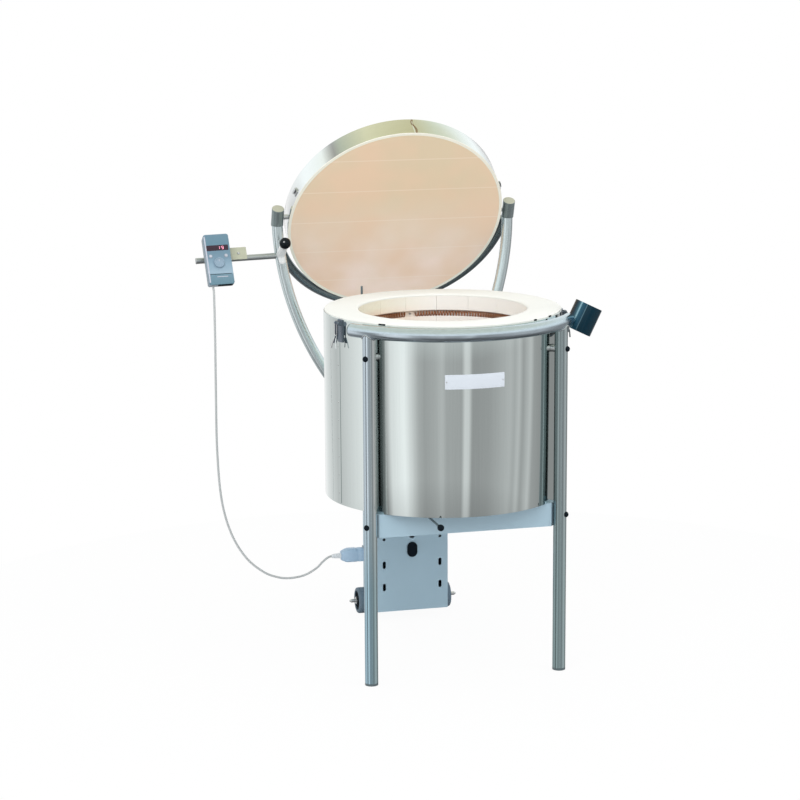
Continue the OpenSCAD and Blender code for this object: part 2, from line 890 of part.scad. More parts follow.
module bow_tube(d_out, d_in) {
    bow_plane() {
        for (side = [0, 1])
            mirror([side, 0, 0])
                translate([bow_a - bow_side_r, 0, 0])
                    rotate_extrude(angle = bow_turn - 0.004, $fn = 360)
                        translate([bow_side_r, 0])
                            difference() {
                                circle(d = d_out, $fn = 48);
                                if (d_in > 0) circle(d = d_in, $fn = 48);
                            }
        translate([0, bow_b - bow_r, 0])
            rotate([0, 0, bow_turn])
                rotate_extrude(angle = 180 - 2 * bow_turn, $fn = 240)
                    translate([bow_r, 0])
                        difference() {
                            circle(d = d_out, $fn = 48);
                            if (d_in > 0) circle(d = d_in, $fn = 48);
                        }
        for (side = [-1, 1])
            translate([side * bow_a, 0, 0])
                difference() {
                    along_y(d_out, -14, 0);
                    if (d_in > 0) along_y(d_in, -20, 1);
                }
    }
}

module lid_bow() {
    color("gainsboro")
        difference() {
            lid_pose()
                difference() {
                    bow_tube(bow_d, bow_d - 2 * bow_t);
                    for (side = [-1, 1])
                        mitre(side, collar_lean / 2) translate([-50, -50, 0]) cube([100, 100, 100]);
                }
            bar_pose() along_x(bar_d + 0.4, -30, 0);
            clamp_pose() cylinder(d = 8.6, h = 30);
        }
}

module hinge_arm() {
    color("slategray")
        lid_pose()
            difference() {
                translate([0, hinge_y, hinge_z])
                    difference() {
                        union() {
                            along_x(28, -54, 54);
                            for (x = [-42, 34])
                                rotate([lug_angle, 0, 0]) translate([x, 0, -12]) cube([8, lug_length, 24]);
                        }
                        along_x(pin_d + 2 * running, -60, 60);
                    }
                bow_tube(bow_d + fit, 0);
            }
}

module rest_hoop() {
    color("darkslategray")
        lid_pose()
            difference() {
                translate([0, 0, pivot_z])
                    rotate([0, 0, 5.5])
                        rotate_extrude(angle = 169, $fn = 240)
                            translate([hoop_r, 0])
                                difference() {
                                    circle(d = hoop_d, $fn = 48);
                                    circle(d = hoop_d - 4, $fn = 48);
                                }
                bow_tube(bow_d + fit, 0);
            }
}

// Places a piece drawn along Z at the joint of a bow arm and its collar, leaning from the arm's line
module mitre(side, lean) {
    bow_plane()
        translate([side * bow_a, collar_drop, 0])
            rotate([90 + lean, 0, 0])
                children();
}

module collar(side) {
    difference() {
        union() {
            difference() {
                mitre(side, collar_lean) translate([0, 0, -20]) cylinder(d = collar_d, h = collar_l + 40);
                mitre(side, collar_lean / 2) translate([-50, -50, -100 + fit / 2]) cube([100, 100, 100]);
            }
            mitre(side, 0) translate([0, 0, -16]) cylinder(d = bow_d - 2 * bow_t - 2.4, h = 22);
        }
        mitre(side, collar_lean)
            translate([0, 0, collar_l]) rotate([8, 0, 0]) translate([-40, -40, 0]) cube([80, 80, 60]);
        translate([side * bow_a, 0, pivot_z]) along_x(8.4, -30, 30);
    }
}

module bow_collars() {
    color("dimgray") lid_pose() for (side = [-1, 1]) collar(side);
}

module lid_pivots() {
    color("silver")
        lid_pose()
            for (side = [0, 1])
                mirror([side, 0, 0])
                    translate([0, 0, pivot_z]) {
                        along_x(8, lid_r - 8, bow_a + collar_d / 2 - 4);
                        along_x(14, lid_r + 0.1, bow_a - collar_d / 2 - 0.2);
                    }
}

module lid_band() {
    color("lightgray")
        lid_pose()
            translate([0, 0, lid_z])
                difference() {
                    ring(lid_r, lid_r - 1.2, lid_t);
                    translate([0, 0, lid_t / 2]) along_x(8.4, -lid_r - 5, lid_r + 5);
                }
}

module lid_bricks() {
    core_r = lid_r - 1.4;
    core_h = lid_t - 1.8;
    color("bisque")
        lid_pose()
            difference() {
                for (row = [-3:2])
                    for (col = [-2:1])
                        intersection() {
                            translate([0, 0, lid_z]) cylinder(r = core_r, h = core_h);
                            translate([col * 230 + (row % 2 == 0 ? 0 : 115) + 0.2, row * lid_strip + 0.2, lid_z - 1])
                                cube([229.6, lid_strip - 0.4, lid_t]);
                        }
                translate([0, 0, pivot_z]) along_x(8.6, lid_r - 9, lid_r + 5);
                translate([0, 0, pivot_z]) along_x(8.6, -lid_r - 5, -lid_r + 9);
            }
}

module lid_cover() {
    color("silver")
        lid_pose() translate([0, 0, lid_z + lid_t - 1.6]) cylinder(r = lid_r - 1.4, h = 1.5);
}

module latch_catches() {
    color("white")
        lid_pose()
            for (side = [-1, 1])
                round_body(side * latch_angle)
                    translate([-8, -lid_r - 2.4, lid_z + 12]) {
                        cube([16, 2.2, 20]);
                        translate([0, -4, 14]) cube([16, 5, 2.5]);
                        translate([0, -4, 9]) cube([16, 2, 6]);
                    }
}

// Controller

module clamp_stub() {
    color("silver")
        difference() {
            clamp_pose()
                difference() {
                    cylinder(d1 = 25, d2 = 22, h = stub_l);
                    translate([0, 0, -1]) cylinder(d = 8 + 2 * running, h = stub_l + 2);
                }
            lid_pose() bow_tube(bow_d + fit, 0);
        }
}

module clamp_knob() {
    color("black")
        clamp_pose() {
            translate([0, 0, bar_d / 2 + 0.3]) cylinder(d = 8, h = stub_l);
            translate([0, 0, stub_l + 0.4]) cylinder(d = 13, h = 8);
            translate([0, 0, stub_l + 4.5 + ball_d / 2]) sphere(d = ball_d);
        }
}

module controller_bar() {
    color("silver")
        bar_pose() along_x(bar_d, bar_end - clamp_x, 0);
}

module controller_bracket() {
    color("darkkhaki")
        difference() {
            controller_pose() {
                translate([-30, case_t + 0.1, case_rise - 14]) cube([114, 3, 35]);
                translate([44, case_t + 1, case_rise - bar_d / 2 - 3])
                    cube([36, case_back - case_t + bar_d / 2 + 3, bar_d + 6]);
            }
            bar_pose() along_x(bar_d + 0.2, bar_end - clamp_x, 0);
        }
}

module controller_case() {
    color("lightsteelblue")
        controller_pose()
            difference() {
                translate([-case_w / 2, 3.2, -case_h / 2]) cube([case_w, case_t - 3.2, case_h]);
                translate([-case_w / 2 + 2.5, 0, -case_h / 2 + 9]) cube([case_w - 5, case_t - 2.5, case_h - 11.5]);
                translate([-case_w / 2 - 1, 3.2, -case_h / 2])
                    rotate([foot_slope, 0, 0]) translate([0, 0, -20]) cube([case_w + 2, case_t + 8, 20]);
                translate([-23, 16, -case_h / 2 - 1]) cylinder(d = cable_d + 3, h = 12);
            }
}

module controller_panel() {
    color("slategray")
        controller_pose()
            difference() {
                translate([-case_w / 2, 0, -case_h / 2]) cube([case_w, 3, case_h]);
                translate([-30.2, -1, display_z - 0.2]) cube([60.4, 5, display_h + 0.4]);
                for (x = [-button_x, button_x])
                    translate([x, 0, button_z]) along_y(8 + 2 * running, -1, 5);
                translate([0, 0, dial_z]) along_y(6 + 2 * running, -1, 5);
            }
}

module display_window() {
    color("black") controller_pose() translate([-30, 0.4, display_z]) cube([60, 2.4, display_h]);
}

module button(x) {
    color("white") controller_pose() translate([x, 0, button_z]) along_y(8, -1.8, 4);
}

module left_button() {
    button(-button_x);
}

module right_button() {
    button(button_x);
}

module dial() {
    color("gray")
        controller_pose()
            translate([0, 0, dial_z]) {
                along_y(6, -1, 6);
                along_y(29, -5, -0.3);
            }
}

left_leg();
right_leg();
tube_plugs();
front_ring();
end_buffer();
leg_spacers();
leg_bolts();
carrier_pan();
column_front();
column_cover();
cable_grommet();
contactor();
control_socket();
axle();
left_hub();
left_tyre();
right_hub();
right_tyre();
hinge_bracket();
hinge_pin();
bottom_plate();
floor_brick();
wall_bricks();
backup_boards();
rim_coat();
jacket();
top_element();
lower_elements();
element_tails();
thermocouple();
terminal_cover();
latch_bases();
left_latch();
right_latch();
switch_body();
switch_plunger();
slide_plate();
slide_knob();
control_plug();
plug_relief();
control_cable();
lid_bow();
hinge_arm();
rest_hoop();
bow_collars();
lid_pivots();
lid_band();
lid_bricks();
lid_cover();
latch_catches();
clamp_stub();
clamp_knob();
controller_bar();
controller_bracket();
controller_case();
controller_panel();
display_window();
left_button();
right_button();
dial();
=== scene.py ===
"""Looks, light and camera for the electric top-loading kiln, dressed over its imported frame.

All lengths are in metres in the frame's own axes: X to the right, Y to the back, Z up from the floor.
"""
import json
import logging
import math
from dataclasses import dataclass, field
from enum import Enum

import bpy
import numpy as np
from mathutils import Matrix, Vector
from mathutils.geometry import tessellate_polygon

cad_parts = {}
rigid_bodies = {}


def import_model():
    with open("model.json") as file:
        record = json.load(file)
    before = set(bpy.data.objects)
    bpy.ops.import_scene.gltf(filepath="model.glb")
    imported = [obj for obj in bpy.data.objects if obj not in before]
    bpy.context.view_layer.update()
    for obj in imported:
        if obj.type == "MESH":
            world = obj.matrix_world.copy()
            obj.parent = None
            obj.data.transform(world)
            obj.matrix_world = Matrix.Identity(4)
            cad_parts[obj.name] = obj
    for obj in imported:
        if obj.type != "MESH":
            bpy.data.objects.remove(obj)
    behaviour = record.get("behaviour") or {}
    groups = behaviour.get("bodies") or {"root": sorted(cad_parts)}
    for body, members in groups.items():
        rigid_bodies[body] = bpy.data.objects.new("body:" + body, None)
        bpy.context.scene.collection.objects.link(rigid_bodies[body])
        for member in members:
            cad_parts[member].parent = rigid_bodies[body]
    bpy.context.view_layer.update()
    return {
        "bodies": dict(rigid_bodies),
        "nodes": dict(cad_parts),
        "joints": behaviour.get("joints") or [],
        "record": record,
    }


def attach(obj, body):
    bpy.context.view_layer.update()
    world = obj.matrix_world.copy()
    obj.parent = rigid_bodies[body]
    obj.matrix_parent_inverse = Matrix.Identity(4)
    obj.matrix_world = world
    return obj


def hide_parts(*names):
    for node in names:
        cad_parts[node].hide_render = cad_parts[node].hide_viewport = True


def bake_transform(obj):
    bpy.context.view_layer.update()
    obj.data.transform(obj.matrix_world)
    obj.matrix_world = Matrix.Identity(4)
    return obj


LOG = logging.getLogger("kiln")
Triple = tuple[float, float, float]
Stops = tuple[tuple[float, Triple], ...]
Profile = tuple[tuple[float, float], ...]
Socket = bpy.types.NodeSocket
ALONG_X, ALONG_Y, ALONG_Z = np.eye(3)
# Gap that keeps a thin piece clear of what it lies on
GAP = 0.0001


class Part(Enum):
    """Rigid bodies of the frame that new pieces ride on."""

    KILN = "kiln"
    LID = "lid"
    LEFT_WHEEL = "left_wheel"
    RIGHT_WHEEL = "right_wheel"
    LEFT_LATCH = "left_latch"
    RIGHT_LATCH = "right_latch"
    CLAMP_KNOB = "clamp_knob"
    LEFT_BUTTON = "left_button"
    RIGHT_BUTTON = "right_button"
    DIAL = "dial"


class Side(Enum):
    """Left and right as seen from the front."""

    LEFT = -1
    RIGHT = 1

    @property
    def word(self) -> str:
        """The side's name in small letters."""
        return self.name.lower()


# Surfaces


@dataclass
class Shell:
    """A surface as arrays: points, four-sided faces and many-sided end faces."""

    points: np.ndarray
    quads: np.ndarray
    caps: list[list[int]] = field(default_factory=list)

    def moved(self, matrix: np.ndarray) -> "Shell":
        """The same surface with its points carried by a 4 by 4 matrix."""
        points = self.points @ matrix[:3, :3].T + matrix[:3, 3]
        return Shell(points, self.quads, self.caps)


def joined(shells: list[Shell]) -> Shell:
    """Puts several surfaces into one.

    Args:
        shells: the surfaces to put together.

    Returns:
        One surface that holds all their points and faces.
    """
    starts = np.cumsum([0] + [len(s.points) for s in shells])
    points = np.concatenate([s.points for s in shells])
    quads = np.concatenate([s.quads + n for s, n in zip(shells, starts)])
    caps = [[i + int(n) for i in cap] for s, n in zip(shells, starts) for cap in s.caps]
    return Shell(points, quads, caps)


def grid_quads(rows: int, cols: int, wrap_rows: bool, wrap_cols: bool) -> np.ndarray:
    """Faces of a grid of points, row by row.

    Args:
        rows: number of rows of points.
        cols: number of points in a row.
        wrap_rows: whether the last row joins the first.
        wrap_cols: whether each row closes on itself.

    Returns:
        An array of point numbers, four for each face.
    """
    last_row = rows if wrap_rows else rows - 1
    last_col = cols if wrap_cols else cols - 1
    i, j = np.meshgrid(np.arange(last_row), np.arange(last_col), indexing="ij")
    down, over = (i + 1) % rows, (j + 1) % cols
    faces = np.stack([i * cols + j, i * cols + over, down * cols + over, down * cols + j], -1)
    return faces.reshape(-1, 4)


def stacked(rings: np.ndarray, closed: bool = False) -> Shell:
    """Joins rings of points into a tube, each ring anticlockwise about the way the rings go.

    Args:
        rings: the points by ring, place in the ring, and axis.
        closed: whether the last ring joins the first; otherwise both ends get an end face.

    Returns:
        The surface through the rings.
    """
    rows, cols = rings.shape[:2]
    first, last = list(range(cols))[::-1], list(range((rows - 1) * cols, rows * cols))
    return Shell(rings.reshape(-1, 3), grid_quads(rows, cols, closed, True), [] if closed else [first, last])


def unit(v: np.ndarray) -> np.ndarray:
    """Vectors scaled to length one along the last axis."""
    return v / np.maximum(np.linalg.norm(v, axis=-1, keepdims=True), 1e-12)


def sweep(path: np.ndarray, section: np.ndarray, side: np.ndarray, closed: bool = False) -> Shell:
    """Carries a flat section along a path: point + a * side + b * (tangent x side).

    Args:
        path: points of the line, one per row.
        section: the section's two coordinates, one point per row, anticlockwise.
        side: the direction of the section's first axis, for all points or for each.
        closed: whether the path closes on itself.

    Returns:
        The swept surface.
    """
    if closed:
        tangent = unit(np.roll(path, -1, 0) - np.roll(path, 1, 0))
    else:
        tangent = unit(np.gradient(path, axis=0))
    a = np.broadcast_to(side, path.shape)
    a = unit(a - np.sum(a * tangent, -1, keepdims=True) * tangent)
    b = np.cross(tangent, a)
    rings = path[:, None] + section[None, :, :1] * a[:, None] + section[None, :, 1:2] * b[:, None]
    return stacked(rings, closed)


def around(count: int) -> np.ndarray:
    """Evenly spaced angles of a full turn, without the last."""
    return np.linspace(0, 2 * np.pi, count, endpoint=False)


def circle(radius: float, count: int = 24) -> np.ndarray:
    """A round section of that radius."""
    t = around(count)
    return radius * np.stack([np.cos(t), np.sin(t)], -1)


def lathe(profile: np.ndarray | Profile, count: int = 64, start: float = 0.0, turn: float = 360.0) -> Shell:
    """Turns a profile of (radius, height) about Z: (r cos t, r sin t, z).

    Args:
        profile: radius and height, one point per row; a closed ring repeats its first point at the end.
        count: number of steps round the axis.
        start: the first angle in degrees from X, for a part turn.
        turn: how far round it goes, in degrees.

    Returns:
        The turned surface.
    """
    profile = np.asarray(profile, float)
    whole = turn >= 360.0
    t = np.radians(start + np.linspace(0, turn, count, endpoint=not whole))
    r, z = profile.T
    flat = np.broadcast_to(z, (count, len(z)))
    points = np.stack([np.cos(t)[:, None] * r, np.sin(t)[:, None] * r, flat], -1).reshape(-1, 3)
    quads = grid_quads(count, len(profile), whole, False)[:, ::-1]
    first, last = list(range(len(profile))), list(range(len(points) - len(profile), len(points)))[::-1]
    return Shell(points, quads, [] if whole else [first, last])


def ring_profile(inner: float, outer: float, low: float, high: float) -> np.ndarray:
    """The closed profile of a flat ring between two radii and two heights."""
    return np.array([[inner, low], [outer, low], [outer, high], [inner, high], [inner, low]])


def rounded(corners: np.ndarray | Profile | tuple[Triple, ...], radius: float, steps: int = 4) -> np.ndarray:
    """A line of corners with each inner corner turned into a small arc.

    Args:
        corners: the corner points, one per row.
        radius: how far from each corner the arc starts, at most just under half of either stretch.
        steps: points in each arc.

    Returns:
        The rounded line, where each arc is a quadratic curve between its two ends.
    """
    corners = np.asarray(corners, float)
    middle = corners[1:-1]
    ends = []
    for neighbour in (corners[:-2], corners[2:]):
        away = neighbour - middle
        reach = np.minimum(radius, 0.49 * np.linalg.norm(away, axis=-1, keepdims=True))
        ends.append((middle + unit(away) * reach)[:, None])
    t = np.linspace(0, 1, steps)[None, :, None]
    arcs = (1 - t) ** 2 * ends[0] + 2 * t * (1 - t) * middle[:, None] + t ** 2 * ends[1]
    return np.concatenate([corners[:1], arcs.reshape(-1, corners.shape[1]), corners[-1:]])


def outline(width: float, height: float, radius: float, steps: int = 6) -> np.ndarray:
    """A rectangle with round corners, about its middle, anticlockwise.

    Args:
        width: size along the first axis.
        height: size along the second axis.
        radius: radius of the corners.
        steps: points in each corner.

    Returns:
        The outline's points, from the corner at the first axis' and the second axis' positive ends.
    """
    t = np.linspace(0, np.pi / 2, steps) + np.pi / 2 * np.arange(4)[:, None]
    corners = radius * np.stack([np.cos(t), np.sin(t)], -1)
    w, h = width / 2 - radius, height / 2 - radius
    middles = np.array([[w, h], [-w, h], [-w, -h], [w, -h]])
    return (corners + middles[:, None]).reshape(-1, 2)


def block(width: float, height: float, depth: float, corner: float, edge: float, steps: int = 6) -> Shell:
    """A box with round corners and eased edges, from Z = 0 to Z = depth.

    The outline is stacked at heights along a quarter-round edge at each end.

    Args:
        width: size along X.
        height: size along Y.
        depth: size along Z.
        corner: radius of the outline's corners.
        edge: radius of the eased edges.
        steps: points in each of the outline's corners.

    Returns:
        The closed surface.
    """
    t = np.linspace(0, np.pi / 2, 4)
    inset = np.concatenate([edge * (1 - np.sin(t)), edge * (1 - np.cos(t))])
    level = np.concatenate([edge * (1 - np.cos(t)), depth - edge * (1 - np.sin(t))])
    scale = 1 - 2 * inset[:, None] / np.array([width, height])
    xy = outline(width, height, corner, steps)[None] * scale[:, None]
    z = np.broadcast_to(level[:, None, None], xy.shape[:2] + (1,))
    return stacked(np.concatenate([xy, z], -1))


def rivet(radius: float, rise: float, count: int = 12) -> Shell:
    """A low dome about Z: radius r cos t, height rise sin t, with a short foot under Z = 0.

    Args:
        radius: radius of the dome's foot.
        rise: height of the dome.
        count: number of steps round the axis.

    Returns:
        The dome's surface.
    """
    foot = 0.0006
    t = np.linspace(0, np.pi / 2, 5)
    dome = np.stack([radius * np.cos(t), rise * np.sin(t)], -1)
    return lathe(np.concatenate([[[0.0, -foot], [radius, -foot]], dome]), count)


def turned(x: float = 0.0, y: float = 0.0, z: float = 0.0) -> np.ndarray:
    """A 4 by 4 turn by degrees about X, then Y, then Z."""
    m = Matrix.Rotation(math.radians(z), 4, "Z") @ Matrix.Rotation(math.radians(y), 4, "Y")
    return np.array(m @ Matrix.Rotation(math.radians(x), 4, "X"))


def shifted(x: float, y: float, z: float) -> np.ndarray:
    """A 4 by 4 shift."""
    return np.array(Matrix.Translation((x, y, z)))


def facing_front(x: float, y: float, z: float) -> np.ndarray:
    """Carries a piece drawn along +Z to a point, where it faces the front."""
    return shifted(x, y, z) @ turned(x=90)


def facing_back(x: float, y: float, z: float) -> np.ndarray:
    """Carries a piece drawn along +Z to a point, where it faces the back."""
    return shifted(x, y, z) @ turned(x=-90)


def spline(points: np.ndarray, steps: int) -> np.ndarray:
    """A smooth line through points, each stretch a cubic whose slopes come from the neighbours.

    Args:
        points: the points to go through, one per row.
        steps: pieces in each stretch.

    Returns:
        The points of the smooth line.
    """
    p = np.concatenate([points[:1], points, points[-1:]])
    a, b, c, d = p[:-3, None], p[1:-2, None], p[2:-1, None], p[3:, None]
    t = np.linspace(0, 1, steps, endpoint=False)[None, :, None]
    square, cube = 2 * a - 5 * b + 4 * c - d, 3 * b - a - 3 * c + d
    line = 0.5 * (2 * b + (c - a) * t + square * t ** 2 + cube * t ** 3)
    return np.concatenate([line.reshape(-1, 3), points[-1:]])


# Sizes shared by several assemblies


@dataclass(frozen=True)
class Layout:
    """The kiln's main places, as in its drawing."""

    jacket_r: float = 0.305
    body_z: float = 0.440
    rim_z: float = 0.922
    chamber_r: float = 0.216
    leg_angle: float = 48.6
    leg_r: float = 0.33085
    tube_r: float = 0.01685
    ring_z: float = 0.903
    ring_angle: float = 58.0
    buffer_at: Triple = (0.3273, -0.154, 0.9021)
    buffer_lean: float = 26.0
    hinge_y: float = 0.391
    hinge_z: float = 0.565
    lid_open: float = 57.0
    lid_z: float = 0.923
    lid_t: float = 0.060
    lid_r: float = 0.299
    bow_a: float = 0.326
    bow_b: float = 0.538
    bow_r: float = 0.238
    bow_dip: float = 37.0
    clamp_drop: float = 0.104
    column_y: float = 0.316
    column_d: float = 0.154
    axle_y: float = 0.421
    axle_z: float = 0.036
    latch_angle: float = 72.0

    @property
    def pivot_z(self) -> float:
        """Height of the closed lid's middle plane."""
        return self.lid_z + self.lid_t / 2

    @property
    def lid_pose(self) -> np.ndarray:
        """Turns the closed lid open about its hinge."""
        there, back = shifted(0, self.hinge_y, self.hinge_z), shifted(0, -self.hinge_y, -self.hinge_z)
        return there @ turned(x=-self.lid_open) @ back

    @property
    def lid_middle(self) -> Triple:
        """Middle of the open lid."""
        return tuple((self.lid_pose @ [0.0, 0.0, self.pivot_z, 1.0])[:3])

    @property
    def bow_pose(self) -> np.ndarray:
        """Lays what is drawn flat, with Y down from the pivots, in the open bow's plane."""
        return self.lid_pose @ shifted(0, 0, self.pivot_z) @ turned(x=-self.bow_dip)

    @property
    def bow_side_r(self) -> float:
        """Radius of the bow's side arcs, which run into its bottom arc without a kink."""
        reach = self.bow_a ** 2 + self.bow_b ** 2 - 2 * self.bow_b * self.bow_r
        return reach / (2 * (self.bow_a - self.bow_r))

    @property
    def clamp(self) -> np.ndarray:
        """The open bow's left arm where the controller bar meets it."""
        return (self.bow_pose @ [-self.bow_x(self.clamp_drop), self.clamp_drop, 0.0, 1.0])[:3]

    def bow_x(self, down: float | np.ndarray) -> float | np.ndarray:
        """Half the bow's width at a way down from the pivots: a - R + sqrt(R^2 - d^2)."""
        return self.bow_a - self.bow_side_r + np.sqrt(self.bow_side_r ** 2 - down ** 2)

    def leg(self, side: Side) -> Triple:
        """Where a front leg stands."""
        a = math.radians(side.value * self.leg_angle)
        return (self.leg_r * math.sin(a), -self.leg_r * math.cos(a), 0.0)

    def on_jacket(self, angle: float, z: float, out: float) -> np.ndarray:
        """Carries a piece drawn along +Z to stand out from the jacket, at an angle from the front."""
        return turned(z=angle) @ facing_front(0, -self.jacket_r - out, z)


PLAN = Layout()


# Finishes


class Nodes:
    """Adds nodes to one tree and joins them."""

    def __init__(self, tree: bpy.types.NodeTree) -> None:
        """Keeps the tree."""
        self.tree = tree

    def node(self, kind: str, **values: object) -> bpy.types.Node:
        """Adds a node.

        Args:
            kind: the node's type name.
            values: attributes of the node, or inputs of it by their names with spaces as underscores.

        Returns:
            The new node.
        """
        made = self.tree.nodes.new(kind)
        for key, value in values.items():
            if hasattr(made, key):
                setattr(made, key, value)
            else:
                self.feed(value, made.inputs[key.replace("_", " ")])
        return made

    def feed(self, value: Socket | Triple | float, target: Socket) -> None:
        """Joins a socket to an input, or gives the input a colour, a vector or a number.

        Args:
            value: the socket to join, or the value to give.
            target: the input.
        """
        if isinstance(value, Socket):
            self.tree.links.new(value, target)
        elif target.type == "RGBA":
            target.default_value = (*value, 1)
        else:
            target.default_value = value

    def ramp(self, source: Socket, stops: Stops) -> Socket:
        """Colours by a value.

        Args:
            source: the value, from 0 to 1.
            stops: pairs of a place from 0 to 1 and a colour, in order.

        Returns:
            The colour.
        """
        made = self.node("ShaderNodeValToRGB", Fac=source)
        elements = made.color_ramp.elements
        for element, (place, colour) in zip(elements, (stops[0], stops[-1])):
            element.position = place
            element.color = (*colour, 1)
        for place, colour in stops[1:-1]:
            elements.new(place).color = (*colour, 1)
        return made.outputs["Color"]

    def graded(self, source: Socket, stops: Stops) -> Socket:
        """Colours by a value that runs from the first stop's place to the last one's.

        Args:
            source: the value.
            stops: pairs of a place and a colour, in order.

        Returns:
            The colour.
        """
        low, high = stops[0][0], stops[-1][0]
        spots = tuple(((place - low) / (high - low), colour) for place, colour in stops)
        return self.ramp(self.span(source, 0.0, 1.0, low, high), spots)

    def span(self, source: Socket, low: float, high: float, first: float = 0.3, last: float = 0.7) -> Socket:
        """Carries a value from one range to another and stops at its ends.

        Args:
            source: the value.
            low: what comes out at the first end.
            high: what comes out at the last end.
            first: the value at the first end.
            last: the value at the last end.

        Returns:
            The value in its new range.
        """
        ends = {"From_Min": first, "From_Max": last, "To_Min": low, "To_Max": high}
        return self.node("ShaderNodeMapRange", Value=source, **ends).outputs["Result"]

    def mix(self, share: Socket | float, first: Socket | Triple, second: Socket | Triple,
            blend: str = "MIX") -> Socket:
        """Mixes two colours.

        Args:
            share: how much of the second colour there is.
            first: the first colour.
            second: the second colour.
            blend: how the second one is laid on the first.

        Returns:
            The mixed colour.
        """
        made = self.node("ShaderNodeMix", data_type="RGBA", blend_type=blend)
        for value, number in ((share, 0), (first, 6), (second, 7)):
            self.feed(value, made.inputs[number])
        return made.outputs[2]

    def maths(self, operation: str, first: Socket, second: Socket | float) -> Socket:
        """A sum on two values.

        Args:
            operation: the sum's name.
            first: the first value.
            second: the second value.

        Returns:
            What comes out.
        """
        made = self.node("ShaderNodeMath", operation=operation)
        self.feed(first, made.inputs[0])
        self.feed(second, made.inputs[1])
        return made.outputs["Value"]

    def axes(self, source: str) -> tuple[Socket, Socket, Socket]:
        """The X, Y and Z of a set of coordinates, by its name."""
        split = self.node("ShaderNodeSeparateXYZ", Vector=self.node("ShaderNodeTexCoord").outputs[source])
        return tuple(split.outputs[name] for name in "XYZ")

    def shaders(self, share: Socket, first: Socket, second: Socket) -> Socket:
        """Mixes two shaders.

        Args:
            share: how much of the second shader there is.
            first: the first shader.
            second: the second shader.

        Returns:
            The mixed shader.
        """
        made = self.node("ShaderNodeMixShader")
        for value, target in zip((share, first, second), made.inputs):
            self.feed(value, target)
        return made.outputs["Shader"]


class Wiring(Nodes):
    """Builds one material's nodes round a Principled shader."""

    def __init__(self, name: str) -> None:
        """Starts a material.

        Args:
            name: the material's name.
        """
        self.material = bpy.data.materials.new(name)
        self.material.use_nodes = True
        super().__init__(self.material.node_tree)
        self.shader = self.tree.nodes["Principled BSDF"]

    def set(self, name: str, value: Socket | Triple | float) -> None:
        """Joins a socket to one of the shader's inputs, or gives it a value."""
        self.feed(value, self.shader.inputs[name])

    @property
    def colour(self) -> Socket:
        """What the base colour comes from so far."""
        return self.shader.inputs["Base Color"].links[0].from_socket

    def place(self, scale: Triple = (1.0, 1.0, 1.0), turn: Triple = (0.0, 0.0, 0.0),
              shift: Triple = (0.0, 0.0, 0.0)) -> Socket:
        """Object coordinates, stretched, then turned, then shifted.

        Args:
            scale: the stretch along each axis.
            turn: the turn about each axis, in degrees.
            shift: the shift along each axis.

        Returns:
            The new coordinates.
        """
        coords = self.node("ShaderNodeTexCoord").outputs["Object"]
        angles = tuple(math.radians(v) for v in turn)
        made = self.node("ShaderNodeMapping", Vector=coords, Scale=scale, Rotation=angles, Location=shift)
        return made.outputs["Vector"]

    def noise(self, scale: Triple, detail: float = 3.0) -> Socket:
        """Cloudy noise on stretched Object coordinates."""
        made = self.node("ShaderNodeTexNoise", Scale=1.0, Detail=detail, Vector=self.place(scale))
        return made.outputs["Fac"]

    def bump(self, height: Socket, strength: float, depth: float) -> None:
        """Raises the surface a little by a value."""
        made = self.node("ShaderNodeBump", Strength=strength, Distance=depth, Height=height)
        self.set("Normal", made.outputs["Normal"])


def shade(colour: Triple, by: float) -> Triple:
    """A colour made lighter or darker by a factor, kept under one."""
    return tuple(min(1.0, max(0.0, c * by)) for c in colour)


def greys(stops: Profile) -> Stops:
    """Stops of (place, brightness) as stops of (place, colour)."""
    return tuple((place, (value,) * 3) for place, value in stops)


@dataclass(frozen=True)
class Finish:
    """A finish with a base colour and gloss, mottled lightly and grained finely."""

    name: str
    colour: Triple
    roughness: float = 0.5
    metallic: float = 0.0
    slot: str = ""
    grain: float = 900.0
    mottle: float = 0.05
    relief: float = 0.15
    coat: float = 0.0
    specular: float = 0.5

    def build(self) -> bpy.types.Material:
        """Makes the finish's material.

        Returns:
            The new material.
        """
        w = Wiring(self.name)
        w.set("Metallic", self.metallic)
        w.set("Coat Weight", self.coat)
        w.set("Specular IOR Level", self.specular)
        self.dress(w)
        return w.material

    def mottled(self, w: Wiring, source: Socket) -> None:
        """Lets the base colour vary a little with a value."""
        low, high = shade(self.colour, 1 - self.mottle), shade(self.colour, 1 + self.mottle)
        w.set("Base Color", w.ramp(source, ((0.3, low), (0.7, high))))

    def dress(self, w: Wiring) -> None:
        """Takes the colour from broad clouds, and gloss and relief from fine grain.

        Args:
            w: the material's nodes.
        """
        fine = w.noise((self.grain,) * 3, 2.0)
        self.mottled(w, w.noise((9.0, 9.0, 9.0), 4.0))
        w.set("Roughness", w.span(fine, self.roughness * 0.85, min(1.0, self.roughness * 1.15)))
        w.bump(fine, self.relief, 0.0004)


@dataclass(frozen=True)
class DrawnSteel(Finish):
    """Steel with fine lines along one axis from drawing or rolling."""

    along: Triple = (500.0, 500.0, 4.0)

    def dress(self, w: Wiring) -> None:
        """Lays long streaks in colour and relief, with a faint haze over them.

        Args:
            w: the material's nodes.
        """
        streak = w.noise(self.along)
        haze = w.noise((3.0, 3.0, 1.2))
        self.mottled(w, streak)
        w.set("Roughness", w.span(haze, self.roughness * 0.8, self.roughness * 1.25))
        w.bump(streak, self.relief, 0.0001)


